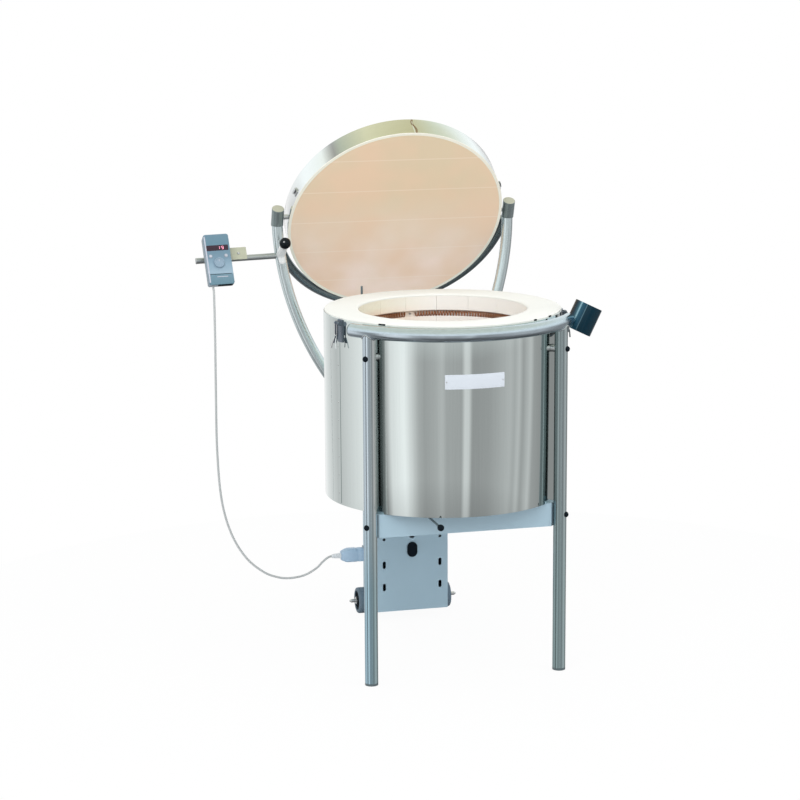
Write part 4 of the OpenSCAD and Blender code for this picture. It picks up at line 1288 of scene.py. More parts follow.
@dataclass
class Stand:
    """Legs, ring, pan, column and wheels."""

    shop: Workshop
    foot_z: float = 0.006
    leg_sink: float = 0.004
    bead_r: float = 0.0016
    bead_out: float = 0.0006
    bead_flat: float = 0.97
    bead_ripple: float = 0.0004
    bead_ripples: int = 24
    drum_r: float = 0.036
    drum_h: float = 0.073
    drum_lip: float = 0.004
    drum_dish: float = 0.0015
    drum_ease: float = 0.0018
    arm_line: Triple = (0.003, 0.030, 0.040)
    arm_r: float = 0.007
    arm_turn: float = 35.4
    stud_profile: Profile = ((0.0, -0.014), (0.0138, -0.014), (0.0138, 0.0035), (0.007, 0.004),
                             (0.007, 0.030), (0.0, 0.030))
    screw_head: tuple[float, float] = (0.0045, 0.0022)
    screw_x: float = 0.088
    screw_levels: Triple = (0.06, 0.28, 0.50)
    bolt_head: tuple[float, float] = (0.005, 0.0025)
    bolt_x: float = 0.07
    bolt_z: float = 0.41
    wheel_w: float = 0.025
    wheel_x: float = 0.107
    # Lower halves of the profiles, as radius and way in from the wheel's side
    tyre_profile: Profile = ((0.027, 0.0), (0.034, 0.0), (0.036, 0.004))
    hub_profile: Profile = ((0.0051, 0.0), (0.012, 0.0), (0.013, 0.006), (0.022, 0.006), (0.0268, 0.002))
    hub_ribs: int = 6
    rib_w: float = 0.003
    rib_h: float = 0.011
    rib_r: float = 0.0175
    rib_in: float = 0.004

    def build(self) -> None:
        """Makes the tubes and wheels and dresses the sheet parts."""
        self.tubes()
        self.buffer()
        self.bolts()
        self.sheet_parts()
        self.wheel(Side.LEFT, Part.LEFT_WHEEL)
        self.wheel(Side.RIGHT, Part.RIGHT_WHEEL)

    def tubes(self) -> None:
        """Legs under a ring: straight tubes, an arc r (sin t, -cos t), and weld beads where they meet."""
        t = np.radians(np.linspace(-PLAN.ring_angle, PLAN.ring_angle, 97))
        arc = np.stack([PLAN.leg_r * np.sin(t), -PLAN.leg_r * np.cos(t), np.full_like(t, PLAN.ring_z)], -1)
        ring = sweep(arc, circle(PLAN.tube_r, 32), ALONG_Z)
        self.shop.piece("front_ring_tube", ring, RING_TUBE, Part.KILN, ("front_ring",))
        for side, steel in ((Side.LEFT, LEFT_TUBE), (Side.RIGHT, RIGHT_TUBE)):
            z = np.linspace(self.foot_z, PLAN.ring_z - self.leg_sink, 5)
            path = np.array(PLAN.leg(side)) + z[:, None] * ALONG_Z
            tube = sweep(path, circle(PLAN.tube_r, 40), ALONG_X)
            self.shop.piece(f"{side.word}_leg_tube", tube, steel, Part.KILN, (f"{side.word}_leg",))
            self.weld(side)
        self.shop.dress(SLATE, "tube_plugs")

    def weld(self, side: Side) -> None:
        """A bead where a leg meets the ring: its height follows the ring's underside, sqrt(R^2 - d^2).

        Args:
            side: which leg it is on.
        """
        t = around(72)
        reach = (PLAN.tube_r + 2 * GAP) ** 2 - (self.bead_flat * PLAN.tube_r * np.sin(t)) ** 2
        z = PLAN.ring_z - np.sqrt(reach) + self.bead_ripple * (np.sin(self.bead_ripples * t) - 1)
        r = PLAN.tube_r + self.bead_out
        loop = np.stack([r * np.cos(t), -r * np.sin(t), z], -1)
        path = loop @ turned(z=side.value * PLAN.leg_angle)[:3, :3].T + PLAN.leg(side)
        bead = sweep(path, circle(self.bead_r, 8), ALONG_Z, closed=True)
        self.shop.piece(f"{side.word}_leg_weld", bead, WELD, Part.KILN)

    def buffer(self) -> None:
        """The round end buffer: a turned drum with eased rims and a shallow dish, on its stud and arm."""
        r, half = self.drum_r, self.drum_h / 2
        lip, dish = r - self.drum_lip, half - self.drum_dish
        corners = ((0.0, -half), (r, -half), (r, half), (lip, half), (lip - 0.001, dish), (0.0, dish))
        drum = lathe(rounded(corners, self.drum_ease), 72)
        drum = drum.moved(shifted(*PLAN.buffer_at) @ turned(y=PLAN.buffer_lean))
        self.shop.piece("buffer_drum", drum, DRUM, Part.KILN, ("end_buffer",))
        ring_end = turned(z=PLAN.ring_angle) @ shifted(0, -PLAN.leg_r, PLAN.ring_z)
        stud = lathe(rounded(self.stud_profile, 0.0008), 32)
        self.shop.piece("buffer_stud", stud.moved(ring_end @ turned(y=90)), BLACK, Part.KILN)
        line = np.array(self.arm_line)[:, None] * ALONG_X
        arm = sweep(line, circle(self.arm_r, 20), ALONG_Z)
        self.shop.piece("buffer_arm", arm.moved(ring_end @ turned(z=-self.arm_turn)), BLACK, Part.KILN)

    def bolts(self) -> None:
        """Finishes of the leg bolts and of the spacers behind the legs."""
        self.shop.dress(BLACK, "leg_bolts")
        self.shop.dress(ZINC, "leg_spacers")

    def sheet_parts(self) -> None:
        """Finishes of the pan, column and what is on them, with the heads of their screws."""
        self.shop.dress(PAN_COAT, "carrier_pan", "column_front", "column_cover", "hinge_bracket")
        self.shop.dress(BLACK, "cable_grommet")
        self.shop.dress(GREY, "control_socket")
        self.shop.dress(PALE, "contactor")
        self.shop.dress(ZINC, "axle", "hinge_pin")
        self.shop.dress(SLATE, "slide_plate")
        self.shop.dress(BLACK, "slide_knob")
        self.shop.frame["nodes"]["slide_knob"].visible_glossy = False
        back = PLAN.column_y + PLAN.column_d
        screws = [facing_back(side.value * self.screw_x, back, z) for side in Side for z in self.screw_levels]
        self.shop.heads("column_screws", rivet(*self.screw_head), ZINC, screws)
        front = PLAN.column_y - 2 * GAP
        bolts = [facing_front(side.value * self.bolt_x, front, self.bolt_z) for side in Side]
        self.shop.heads("pan_bolts", rivet(*self.bolt_head), ZINC, bolts)

    def wheel(self, side: Side, part: Part) -> None:
        """A turned tyre with round shoulders and a dished, ribbed hub.

        Args:
            side: which wheel it is.
            part: the body that it rides on.
        """
        half = self.wheel_w / 2
        tyre, dish = (self.mirrored(profile, half) for profile in (self.tyre_profile, self.hub_profile))
        place = shifted(side.value * (self.wheel_x + half), PLAN.axle_y, PLAN.axle_z) @ turned(y=90)
        tread = lathe(rounded(tyre, 0.0025), 72)
        self.shop.piece(f"{side.word}_tread", tread.moved(place), TREAD, part, (f"{side.word}_tyre",))
        depth = self.wheel_w - 2 * self.rib_in
        rib = block(self.rib_w, self.rib_h, depth, corner=0.001, edge=0.0005, steps=3)
        rib = rib.moved(shifted(0, self.rib_r, self.rib_in - half))
        ribs = [rib.moved(turned(z=360 / self.hub_ribs * k)) for k in range(self.hub_ribs)]
        hub = joined([lathe(rounded(dish, 0.0012), 60), *ribs])
        self.shop.piece(f"{side.word}_wheel_hub", hub.moved(place), BLACK, part, (f"{side.word}_hub",))

    @staticmethod
    def mirrored(profile: Profile, half: float) -> np.ndarray:
        """A closed profile from its lower half, as radius and way in, mirrored about height 0."""
        lower = np.array(profile) - [0.0, half]
        return np.concatenate([lower, lower[::-1] * [1, -1], lower[:1]])


@dataclass
class Chamber:
    """The clad body: jacket, bricks, rim and heating elements."""

    shop: Workshop
    sheet_t: float = 0.0012
    edge_drop: float = 0.005
    edge_roll: float = 0.0008
    seam_angle: float = -76.0
    seam_turn: float = 3.0
    seam_top: float = 0.860
    seam_low: float = 0.004
    seam_t: float = 0.001
    rivet_angle: float = -74.6
    rivet_from: float = 0.47
    rivet_pitch: float = 0.047
    rivet_count: int = 9
    rivet_head: tuple[float, float] = (0.0022, 0.0008)
    screw_head: tuple[float, float] = (0.0032, 0.0018)
    screw_angles: tuple[float, float] = (-41.0, 43.0)
    screw_drop: float = 0.0085
    # Angles and widths of the clips on the rim, in degrees
    clips: Profile = ((-45.0, 3.6), (34.0, 2.0), (47.0, 2.4))
    clip_h: float = 0.004
    lip_w: float = 0.009
    rim_t: float = 0.006
    lump: float = 0.00035
    rows: int = 6
    row_pitch: float = 0.0602
    row_drop: float = 0.051
    coil_sink: float = 0.0022
    groove_r: float = 0.222
    coil_from: float = 101.0
    coil_turn: float = 352.0
    coil_r: float = 0.006
    wire_r: float = 0.0015
    wire_end: float = 0.003
    curls: int = 180
    curl_steps: int = 8
    cover_d: float = 0.058
    slot: Triple = (0.05, 0.005, 0.001)
    slot_x: float = 0.035
    slot_low: float = 0.82
    slot_high: float = 0.87
    slot_rows: int = 5
    cover_head: tuple[float, float] = (0.004, 0.002)
    cover_screw_x: float = 0.07
    cover_screw_levels: tuple[float, float] = (0.556, 0.878)
    plate_w: float = 0.152
    plate_low: float = 0.7645
    plate_high: float = 0.8010
    plate_t: float = 0.0008
    plate_rivet: tuple[float, float] = (0.0019, 0.0009)
    plate_rivet_in: float = 0.8021
    plate_rivet_z: float = 0.7825

    def build(self) -> None:
        """Makes the jacket, rim and coils and dresses the bricks."""
        self.jacket()
        self.rim()
        for row in range(self.rows):
            self.coil(row)
        self.shop.dress(WALL, "wall_bricks", "floor_brick")
        self.shop.dress(FIBRE, "backup_boards")
        self.shop.dress(ZINC, "bottom_plate", "element_tails")
        self.shop.dress(CERAMIC, "thermocouple")
        self.cover()
        self.bare_plate()

    def jacket(self) -> None:
        """A turned sheet with an eased upper edge, a riveted lap seam, and dark screws and clips on top."""
        r, low, high = PLAN.jacket_r, PLAN.body_z + GAP, PLAN.rim_z - self.edge_drop
        inner = r - self.sheet_t
        corners = ((inner, low), (r, low), (r, high), (inner, high + self.edge_roll), (inner, low))
        sheet = lathe(rounded(corners, 0.0004, 3), 256)
        self.shop.piece("jacket_sheet", sheet, JACKET, Part.KILN, ("jacket",))
        lap = ring_profile(r + GAP, r + self.seam_t, low + self.seam_low, self.seam_top)
        self.shop.piece("jacket_seam", lathe(lap, 8, self.seam_angle - 90, self.seam_turn), JACKET, Part.KILN)
        levels = [self.rivet_from + self.rivet_pitch * k for k in range(self.rivet_count)]
        rivets = [PLAN.on_jacket(self.rivet_angle, z, self.seam_t) for z in levels]
        self.shop.heads("seam_rivets", rivet(*self.rivet_head, 8), ZINC, rivets)
        screws = [PLAN.on_jacket(angle, PLAN.rim_z - self.screw_drop, 2 * GAP) for angle in self.screw_angles]
        self.shop.heads("rim_screws", rivet(*self.screw_head), BLACK, screws)
        inner, outer, top = r - 0.0030, r - 0.0008, PLAN.rim_z - 0.0006
        low = top - self.clip_h
        edge = ((inner, low), (outer, low), (outer, top - 0.001), (inner, top), (inner, low))
        clips = [lathe(edge, 12, angle - 90 - width / 2, width) for angle, width in self.clips]
        self.shop.piece("rim_clips", joined(clips), BLACK, Part.KILN)

    def rim(self) -> None:
        """The coated rim: a flat ring, slightly uneven, whose inner lip is a quarter ellipse."""
        inner, outer, top = PLAN.chamber_r, PLAN.jacket_r - 0.0015, PLAN.rim_z
        u = np.linspace(0, np.pi / 2, 9)
        lip = np.stack([inner + self.lip_w * (1 - np.cos(u)), top - self.rim_t * (1 - np.sin(u))], -1)
        rest = [[outer - 0.003, top], [outer - 0.0006, top - 0.001], [outer, top - 0.003],
                [outer, top - self.rim_t], [inner, top - self.rim_t]]
        shell = lathe(np.concatenate([lip, rest]), 192)
        x, y, z = shell.points.T
        lump = self.lump * (np.sin(31 * x + 5 * y) * np.cos(27 * y - 3 * x) - 1)
        shell.points[:, 2] = np.where(z > top - 0.002, z + lump, z)
        self.shop.piece("rim_ring", shell, RIM, Part.KILN, ("rim_coat",))

    def coil(self, row: int) -> None:
        """One heating coil: a ring line R (cos a, sin a) with curls about it.

        Args:
            row: which coil it is, from 0 at the top.
        """
        steps = self.curls * self.curl_steps
        i = np.arange(steps + 1)
        a = np.radians(self.coil_from + self.coil_turn * i / steps)
        c = 2 * np.pi * i / self.curl_steps
        out = np.stack([np.cos(c) * np.cos(a), np.cos(c) * np.sin(a), np.sin(c)], -1)
        z = PLAN.rim_z - self.row_drop - row * self.row_pitch - self.coil_sink
        line = np.stack([self.groove_r * np.cos(a), self.groove_r * np.sin(a), np.full_like(a, z)], -1)
        path = line + self.coil_r * out
        tangent = unit(np.gradient(path, axis=0)) * self.wire_end
        path = np.concatenate([path[:1] - tangent[:1], path, path[-1:] + tangent[-1:]])
        side = np.concatenate([out[:1], out, out[-1:]])
        shell = sweep(path, circle(self.wire_r, 6), side)
        made = self.shop.piece(f"coil_{row}", shell, ELEMENT, Part.KILN, crease=80)
        if row < 2:
            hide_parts("top_element" if row == 0 else "lower_elements")

    def cover(self) -> None:
        """The terminal cover on the back, with rows of air slots and screws."""
        self.shop.dress(BAND, "terminal_cover")
        back = PLAN.jacket_r + self.cover_d
        levels = np.linspace(self.slot_low, self.slot_high, self.slot_rows)
        slots = [facing_back(side.value * self.slot_x, back + GAP, z) for side in Side for z in levels]
        slot = block(*self.slot, corner=0.0024, edge=0.0003, steps=4)
        self.shop.heads("cover_slots", slot, BLACK, slots)
        levels = self.cover_screw_levels
        screws = [facing_back(side.value * self.cover_screw_x, back, z) for side in Side for z in levels]
        self.shop.heads("cover_screws", rivet(*self.cover_head), ZINC, screws)

    def bare_plate(self) -> None:
        """A blank plate bent to the jacket, with a rivet at each end."""
        r = PLAN.jacket_r + 2 * GAP
        half = math.degrees(math.asin(self.plate_w / 2 / PLAN.jacket_r))
        profile = rounded(ring_profile(r, r + self.plate_t, self.plate_low, self.plate_high), 0.0003, 3)
        self.shop.piece("bare_plate", lathe(profile, 32, -90 - half, 2 * half), PLATE, Part.KILN)
        angle, out = half - self.plate_rivet_in, 2 * GAP + self.plate_t
        rivets = [PLAN.on_jacket(side.value * angle, self.plate_rivet_z, out) for side in Side]
        self.shop.heads("plate_rivets", rivet(*self.plate_rivet, 10), ZINC, rivets)


@dataclass
class Latches:
    """Toggle latches and lid switch."""

    shop: Workshop
    latch_z: float = 0.908
    latch_r: float = 0.3135
    # Lines down the lever's face and along its right toe, and half of the bail's loop
    lever_line: tuple[Triple, ...] = ((0.0, -0.0042, 0.002), (0.0, -0.0038, -0.034), (0.0, -0.0100, -0.0495))
    bail_line: tuple[Triple, ...] = ((0.0048, -0.0060, 0.0), (0.0048, -0.0066, -0.030))
    toe_line: tuple[Triple, ...] = ((0.0044, -0.0080, -0.0360), (0.0062, -0.0118, -0.0480),
                                    (0.0105, -0.0130, -0.0620))
    rail_x: float = 0.0046
    rail: tuple[float, float] = (0.0036, 0.0030)
    web: tuple[float, float] = (0.0100, 0.0020)
    pin_r: float = 0.00255
    knuckle_r: float = 0.005
    knuckle_half: float = 0.0065
    bail_r: float = 0.0011
    toe_r: float = 0.0019

    def build(self) -> None:
        """Makes each latch's lever with its wire bail and dresses the rest."""
        self.shop.dress(LATCH_BASE, "latch_bases")
        self.shop.dress(BLACK, "switch_body")
        self.shop.dress(SLATE, "switch_plunger")
        for side, part in ((Side.LEFT, Part.LEFT_LATCH), (Side.RIGHT, Part.RIGHT_LATCH)):
            self.lever(side, part)

    def lever(self, side: Side, part: Part) -> None:
        """A lever of two rails that flares outward at its foot, with a wire bail on its face and bright toes.

        Args:
            side: which latch it is on.
            part: the body that it rides on.
        """
        place = turned(z=side.value * PLAN.latch_angle) @ shifted(0, -self.latch_r, self.latch_z)
        both = [np.array([s.value, 1.0, 1.0]) for s in Side]
        line = rounded(self.lever_line, 0.008, 6)
        rail, web = outline(*self.rail, 0.0012, 4), outline(*self.web, 0.0008, 4)
        rails = [sweep(line + s.value * self.rail_x * ALONG_X, rail, ALONG_X) for s in Side]
        webs = [sweep(ends, web, ALONG_X) for ends in (line[:3], line[-3:])]
        eye = ring_profile(self.pin_r, self.knuckle_r, -self.knuckle_half, self.knuckle_half)
        knuckle = lathe(eye, 28).moved(turned(y=90))
        lever = joined([*rails, *webs, knuckle]).moved(place)
        self.shop.piece(f"{side.word}_lever", lever, LATCH, part, (f"{side.word}_latch",))
        left, right = (self.bail_line * flip for flip in both)
        bail = sweep(rounded(np.concatenate([left, right[::-1]]), 0.004, 6), circle(self.bail_r, 8), ALONG_Y)
        self.shop.piece(f"{side.word}_bail", bail.moved(place), SILVER_TIP, part)
        toes = [sweep(self.toe_line * flip, circle(self.toe_r, 8), ALONG_X) for flip in both]
        self.shop.piece(f"{side.word}_toes", joined(toes).moved(place), SILVER_TIP, part)


@dataclass
class Lid:
    """The lid in its bow, with hoop and collars."""

    shop: Workshop
    sheet_t: float = 0.0012
    fold: float = 0.010
    edge_w: float = 0.0075
    face_in: float = 0.0063
    bow_tube_r: float = 0.015
    bow_from: float = 0.0185
    hoop_gap: float = 0.025
    hoop_tube_r: float = 0.013
    hoop_from: float = 5.5
    collar_r: float = 0.0167
    collar_l: float = 0.051
    collar_lean: float = 24.0
    collar_slant: float = 8.0
    collar_drop: float = 0.022
    # Shares of the collar's radius and lifts at its top, two of the sleeve and then three of the cap
    collar_tops: Profile = ((1.0, -0.001), (0.96, -0.0004), (0.965, -0.0004), (0.94, -0.0002), (0.80, 0.0))

    def build(self) -> None:
        """Makes the band, bow, hoop and collars and dresses the bricks."""
        self.band()
        self.bow()
        self.hoop()
        self.collars()
        self.shop.dress(LID_EDGE, "lid_bricks")
        self.shop.dress(BAND, "lid_cover")
        self.shop.dress(ZINC, "lid_pivots", "latch_catches")
        self.shop.dress(BOW_TUBE, "hinge_arm")

    def band(self) -> None:
        """A turned band with a folded upper edge, the brick face with a pale edge line, and a seam."""
        r, low, high = PLAN.lid_r, PLAN.lid_z, PLAN.lid_z + PLAN.lid_t
        inner, fold = r - self.sheet_t, r - self.fold
        corners = ((inner, low), (r, low), (r, high), (fold, high), (fold, high - GAP),
                   (inner, high - self.sheet_t), (inner, low))
        sheet = lathe(rounded(corners, 0.0007, 3), 256)
        self.shop.piece("band_sheet", sheet.moved(PLAN.lid_pose), LID_BAND, Part.LID, ("lid_band",))
        edge = rounded(ring_profile(r - self.edge_w, r + 0.0002, low - 0.0004, low + 0.0016), 0.0004, 3)
        self.shop.piece("lid_edge_line", lathe(edge, 192).moved(PLAN.lid_pose), EDGE, Part.LID)
        face = ring_profile(0.0, r - self.face_in, low - 0.0003, low + 0.0004)[:-1]
        self.shop.piece("lid_face", lathe(face, 192).moved(PLAN.lid_pose), LID_FACE, Part.LID)
        self.mark("band_seam", angle=-86.8, width=0.0056, finish=SEAM, wave=0.0036)
        self.mark("band_seam_lap", angle=-87.4, width=0.0030, finish=BAND, wave=0.0)

    def mark(self, name: str, angle: float, width: float, finish: Finish, wave: float) -> None:
        """A thin strip up the band at an angle, whose middle sways by wave * sin(2 pi s) from foot to top.

        Args:
            name: the piece's name.
            angle: where it is round the closed lid, in degrees.
            width: how wide it is.
            finish: what it looks like.
            wave: how far it sways.
        """
        r, margin = PLAN.lid_r + GAP, 0.0015
        s = np.linspace(0, 1, 17)
        middle = math.radians(angle)
        a = middle + wave * np.sin(2 * np.pi * s) / r
        z = PLAN.lid_z + margin + (PLAN.lid_t - 2 * margin) * s
        path = np.stack([r * np.cos(a), r * np.sin(a), z], -1)
        side = np.array([-math.sin(middle), math.cos(middle), 0.0])
        strip = sweep(path, outline(width, 0.0008, 0.0003, 3), side)
        self.shop.piece(name, strip.moved(PLAN.lid_pose), finish, Part.LID)

    def bow(self) -> None:
        """The bow tube, laid in its plane: a wide arc from one collar, the bottom arc, and back up."""
        side_r = PLAN.bow_side_r
        turn = math.atan2(PLAN.bow_b - PLAN.bow_r, side_r - PLAN.bow_a)
        t = np.linspace(math.asin(self.bow_from / side_r), turn, 40)
        right = np.stack([PLAN.bow_a - side_r + side_r * np.cos(t), side_r * np.sin(t)], -1)
        u = np.linspace(turn, math.pi - turn, 64)[1:-1]
        low = np.stack([PLAN.bow_r * np.cos(u), PLAN.bow_b - PLAN.bow_r + PLAN.bow_r * np.sin(u)], -1)
        flat = np.concatenate([right, low, right[::-1] * [-1, 1]])
        line = np.column_stack([flat, np.zeros(len(flat))])
        tube = sweep(line, circle(self.bow_tube_r, 32), ALONG_Z)
        self.shop.piece("bow_tube", tube.moved(PLAN.bow_pose), BOW_TUBE, Part.LID, ("lid_bow",))

    def hoop(self) -> None:
        """The dark rest hoop: a half circle round the lid's lower edge."""
        t = np.radians(np.linspace(self.hoop_from, 180 - self.hoop_from, 120))
        r = PLAN.lid_r + self.hoop_gap
        arc = np.stack([r * np.cos(t), r * np.sin(t), np.full_like(t, PLAN.pivot_z)], -1)
        tube = sweep(arc, circle(self.hoop_tube_r, 28), ALONG_Z)
        self.shop.piece("hoop_tube", tube.moved(PLAN.lid_pose), HOOP, Part.LID, ("rest_hoop",))

    def collars(self) -> None:
        """Sleeves that lean from the arms at a mitre, each with a pale cap.

        The foot's height is -y tan(lean / 2), and the top's is the length + y tan(slant).
        """
        length, slant = self.collar_l, math.tan(math.radians(self.collar_slant))
        mitre = math.tan(math.radians(self.collar_lean / 2))
        x, y = circle(self.collar_r, 48).T
        foot = np.stack([x, y, 2 * GAP - y * mitre], -1)
        rings = [np.stack([k * x, k * y, length + lift + k * y * slant], -1) for k, lift in self.collar_tops]
        sleeve, cap = stacked(np.stack([foot, *rings[:2]])), stacked(np.stack(rings[2:]))
        sleeve.caps.pop()
        for side in Side:
            pivot = PLAN.bow_pose @ shifted(side.value * PLAN.bow_a, self.collar_drop, 0)
            place = pivot @ turned(x=90 + self.collar_lean)
            made = self.shop.piece(f"{side.word}_collar", sleeve.moved(place), COLLAR, Part.LID)
            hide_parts("bow_collars")
            self.shop.piece(f"{side.word}_collar_cap", cap.moved(place), CREAM_CAP, Part.LID)


@dataclass
class Controller:
    """The controller on its bar, with clamp and knob."""

    shop: Workshop
    lean: float = 31.0
    middle_x: float = -0.500
    behind: float = 0.059
    rise: float = 0.023
    roll: float = 1.5
    slope: float = 12.0
    width: float = 0.069
    height: float = 0.146
    depth: float = 0.032
    corner: float = 0.006
    front_t: float = 0.0032
    front_in: float = 0.0003
    joint: float = 0.0002
    key_x: float = 0.021
    key_z: float = 0.009
    key_r: float = 0.0040
    well_r: float = 0.0043
    well_d: float = 0.0026
    well_steps: int = 24
    dial_z: float = -0.011
    display_z: float = 0.0326
    digits: tuple[tuple[float, str], ...] = ((0.0040, "bc"), (0.0140, "abcdfg"))
    digit_h: float = 0.0040
    digit_w: float = 0.0024
    bar_l: float = 0.0036
    bar_w: float = 0.0012
    flap_z: float = -0.0435
    mark_t: float = 0.0004
    mark_ease: float = 0.0001
    edge_strip: tuple[float, float] = (0.004, 0.0032)
    flap_line: tuple[float, float] = (0.059, 0.0012)
    flap_mark: tuple[float, float] = (0.030, 0.0022)
    flap_mark_x: float = 0.004
    flap_mark_drop: float = 0.0075
    window: Triple = (0.060, 0.016, 0.0024)
    window_sink: float = 0.0020
    foot: Triple = (0.040, 0.014, 0.004)
    foot_x: float = 0.010
    foot_y: float = 0.011
    foot_out: float = 0.0004
    plate: Triple = (0.114, 0.035, 0.003)
    plate_x: float = 0.027
    plate_rise: float = 0.0035
    saddle: Triple = (0.036, 0.011, 0.030)
    saddle_x: float = 0.062
    saddle_rise: float = 0.006
    screw_head: tuple[float, float] = (0.0045, 0.0025)
    screw_z: float = 0.027
    # Colour of the front by the height on its face
    front_shades: Stops = (
        (-0.074, (0.13, 0.24, 0.30)), (-0.044, (0.17, 0.28, 0.35)), (-0.040, (0.32, 0.44, 0.53)),
        (-0.015, (0.26, 0.38, 0.47)), (0.010, (0.17, 0.27, 0.35)), (0.045, (0.13, 0.24, 0.31)),
        (0.074, (0.15, 0.25, 0.32)))
    dial_profile: Profile = ((0.0, 0.0003), (0.0145, 0.0003), (0.0140, 0.0050), (0.0112, 0.0050),
                             (0.0106, 0.0036), (0.0, 0.0036))
    pointer: tuple[float, float] = (0.0014, 0.006)
    screw_tilt: float = 61.0
    screw_turn: float = 1.82
    ball_r: float = 0.0155
    ball_at: float = 0.0898
    neck_profile: Profile = ((0.0, 0.0190), (0.004, 0.0190), (0.004, 0.0702), (0.0065, 0.0702),
                             (0.0065, 0.0752))
    pad_at: float = 0.1085
    pad_half: float = 0.0185
    pad_turn: float = 42.0
    pad_r: float = 0.0148
    pad_t: float = 0.0024
    bar_end: float = -0.2327
    bar_cap_l: float = 0.0027
    bar_cap_r: float = 0.0083

    @property
    def bar_pose(self) -> np.ndarray:
        """Carries a piece drawn along X from the arm's centre to the bar's line."""
        return shifted(*PLAN.clamp) @ turned(y=-self.roll)

    @property
    def pose(self) -> np.ndarray:
        """Carries a piece drawn on the face, with X right, Z up and -Y outward, to its place."""
        lean = shifted(self.middle_x - PLAN.clamp[0], 0, 0) @ turned(x=-self.lean)
        return self.bar_pose @ lean @ shifted(0, -self.behind, -self.rise)

    def on_face(self, x: float, z: float, out: float = 0.0) -> np.ndarray:
        """Carries a piece drawn along +Z to a point of the face, with Z outward and its Y up the face."""
        return self.pose @ facing_front(x, -out, z)

    def build(self) -> None:
        """Makes the case, panel, controls, bracket and clamp."""
        self.case()
        self.display()
        self.controls()
        self.bracket()
        self.shop.dress(BAR, "controller_bar")
        self.shop.dress(SATIN, "clamp_stub")
        screw = rivet(*self.screw_head).moved(self.on_face(self.saddle_x, self.screw_z, GAP - self.depth))
        self.shop.piece("bracket_screw", screw, SILVER_TIP, Part.LID)
        self.clamp()

    def bracket(self) -> None:
        """A flat plate behind the case and a half saddle that rests on the bar."""
        back = -self.depth - GAP - self.plate[2]
        plate = block(*self.plate, corner=0.002, edge=0.0005, steps=4)
        plate = plate.moved(self.on_face(self.plate_x, self.rise + self.plate_rise, back))
        saddle = block(*self.saddle, corner=0.0015, edge=0.0005, steps=4)
        place = self.on_face(self.saddle_x, self.rise + self.saddle_rise, back - self.saddle[2])
        saddle = saddle.moved(place)
        self.shop.piece("bracket_plate", joined([plate, saddle]), OLIVE, Part.LID, ("controller_bracket",))

    def front(self) -> Shell:
        """The case's front plate, whose face is filled between its outline and two round wells for the keys.

        Returns:
            The front's surface, drawn about Z.
        """
        width, height = self.width - 2 * self.front_in, self.height - 2 * self.front_in
        plate = block(width, height, self.front_t, self.corner, edge=0.0012)
        count, loop, n = len(plate.points), plate.caps.pop(), self.well_steps
        flat = np.column_stack([circle(self.well_r, n), np.full(n, self.front_t)])
        rims = [flat + [side.value * self.key_x, self.key_z, 0.0] for side in Side]
        floors = [rim - self.well_d * ALONG_Z for rim in rims]
        triangles = tessellate_polygon([[Vector(p) for p in edge] for edge in (plate.points[loop], *rims)])
        numbers = np.concatenate([loop, count + np.arange(2 * n)])
        points = np.concatenate([plate.points, *rims, *floors])
        caps = [[int(numbers[i]) for i in triangle] for triangle in triangles]
        for cap in caps:
            a, b, c = points[cap]
            if np.cross(b - a, c - a)[2] < 0:
                cap.reverse()
        i = np.arange(n)
        over = (i + 1) % n
        walls = [np.stack([k + over, k + i, k + 2 * n + i, k + 2 * n + over], -1) for k in (count, count + n)]
        wells = [list(range(k, k + n)) for k in (count + 2 * n, count + 3 * n)]
        return Shell(points, np.concatenate([plate.quads, *walls]), plate.caps + caps + wells)

    def front_finish(self) -> Finish:
        """The front's finish, with its shades carried to heights above the floor.

        Returns:
            The finish.
        """
        middle, rise = self.pose[2, 3], math.cos(math.radians(self.lean))
        stops = tuple((middle + rise * z, colour) for z, colour in self.front_shades)
        return Graded("panel_face", (0.18, 0.28, 0.35), 0.5, 0.0, "grey_plastic", mottle=0.04, specular=0.3,
                      stops=stops)

    def case(self) -> None:
        """A two-part moulded case: a back shell whose foot rises to the rear, and a front with a flap."""
        depth = self.depth - self.front_t - self.joint
        back = block(self.width, self.height, depth, self.corner, edge=0.003)
        low = np.clip(-back.points[:, 1] / (self.height / 2), 0, 1) ** 4
        back.points[:, 1] += low * math.tan(math.radians(self.slope)) * (depth - back.points[:, 2])
        back = back.moved(self.on_face(0, 0, -self.depth))
        self.shop.piece("case_back", back, GREY, Part.LID, ("controller_case",))
        front = self.front().moved(self.on_face(0, 0, -self.front_t))
        self.shop.piece("case_front", front, self.front_finish(), Part.LID, ("controller_panel",))
        width, inset = self.edge_strip
        height = self.height - 2 * self.corner
        strip = block(width, height, self.mark_t, corner=0.0015, edge=self.mark_ease)
        self.shop.piece("case_edge", strip.moved(self.on_face(inset - self.width / 2, 0)), PALE, Part.LID)
        line = block(*self.flap_line, self.mark_t, corner=0.0004, edge=self.mark_ease, steps=3)
        self.shop.piece("flap_line", line.moved(self.on_face(0, self.flap_z)), BLACK, Part.LID)
        mark = block(*self.flap_mark, self.mark_t, corner=0.0008, edge=self.mark_ease, steps=3)
        place = self.on_face(self.flap_mark_x, self.flap_z - self.flap_mark_drop)
        self.shop.piece("flap_mark", mark.moved(place), PALE, Part.LID)
        foot = block(*self.foot, corner=0.003, edge=0.001).moved(turned(x=self.slope))
        foot = foot.moved(self.pose @ shifted(self.foot_x, self.foot_y, -self.height / 2 - self.foot_out))
        self.shop.piece("case_foot", foot, BLACK, Part.LID)

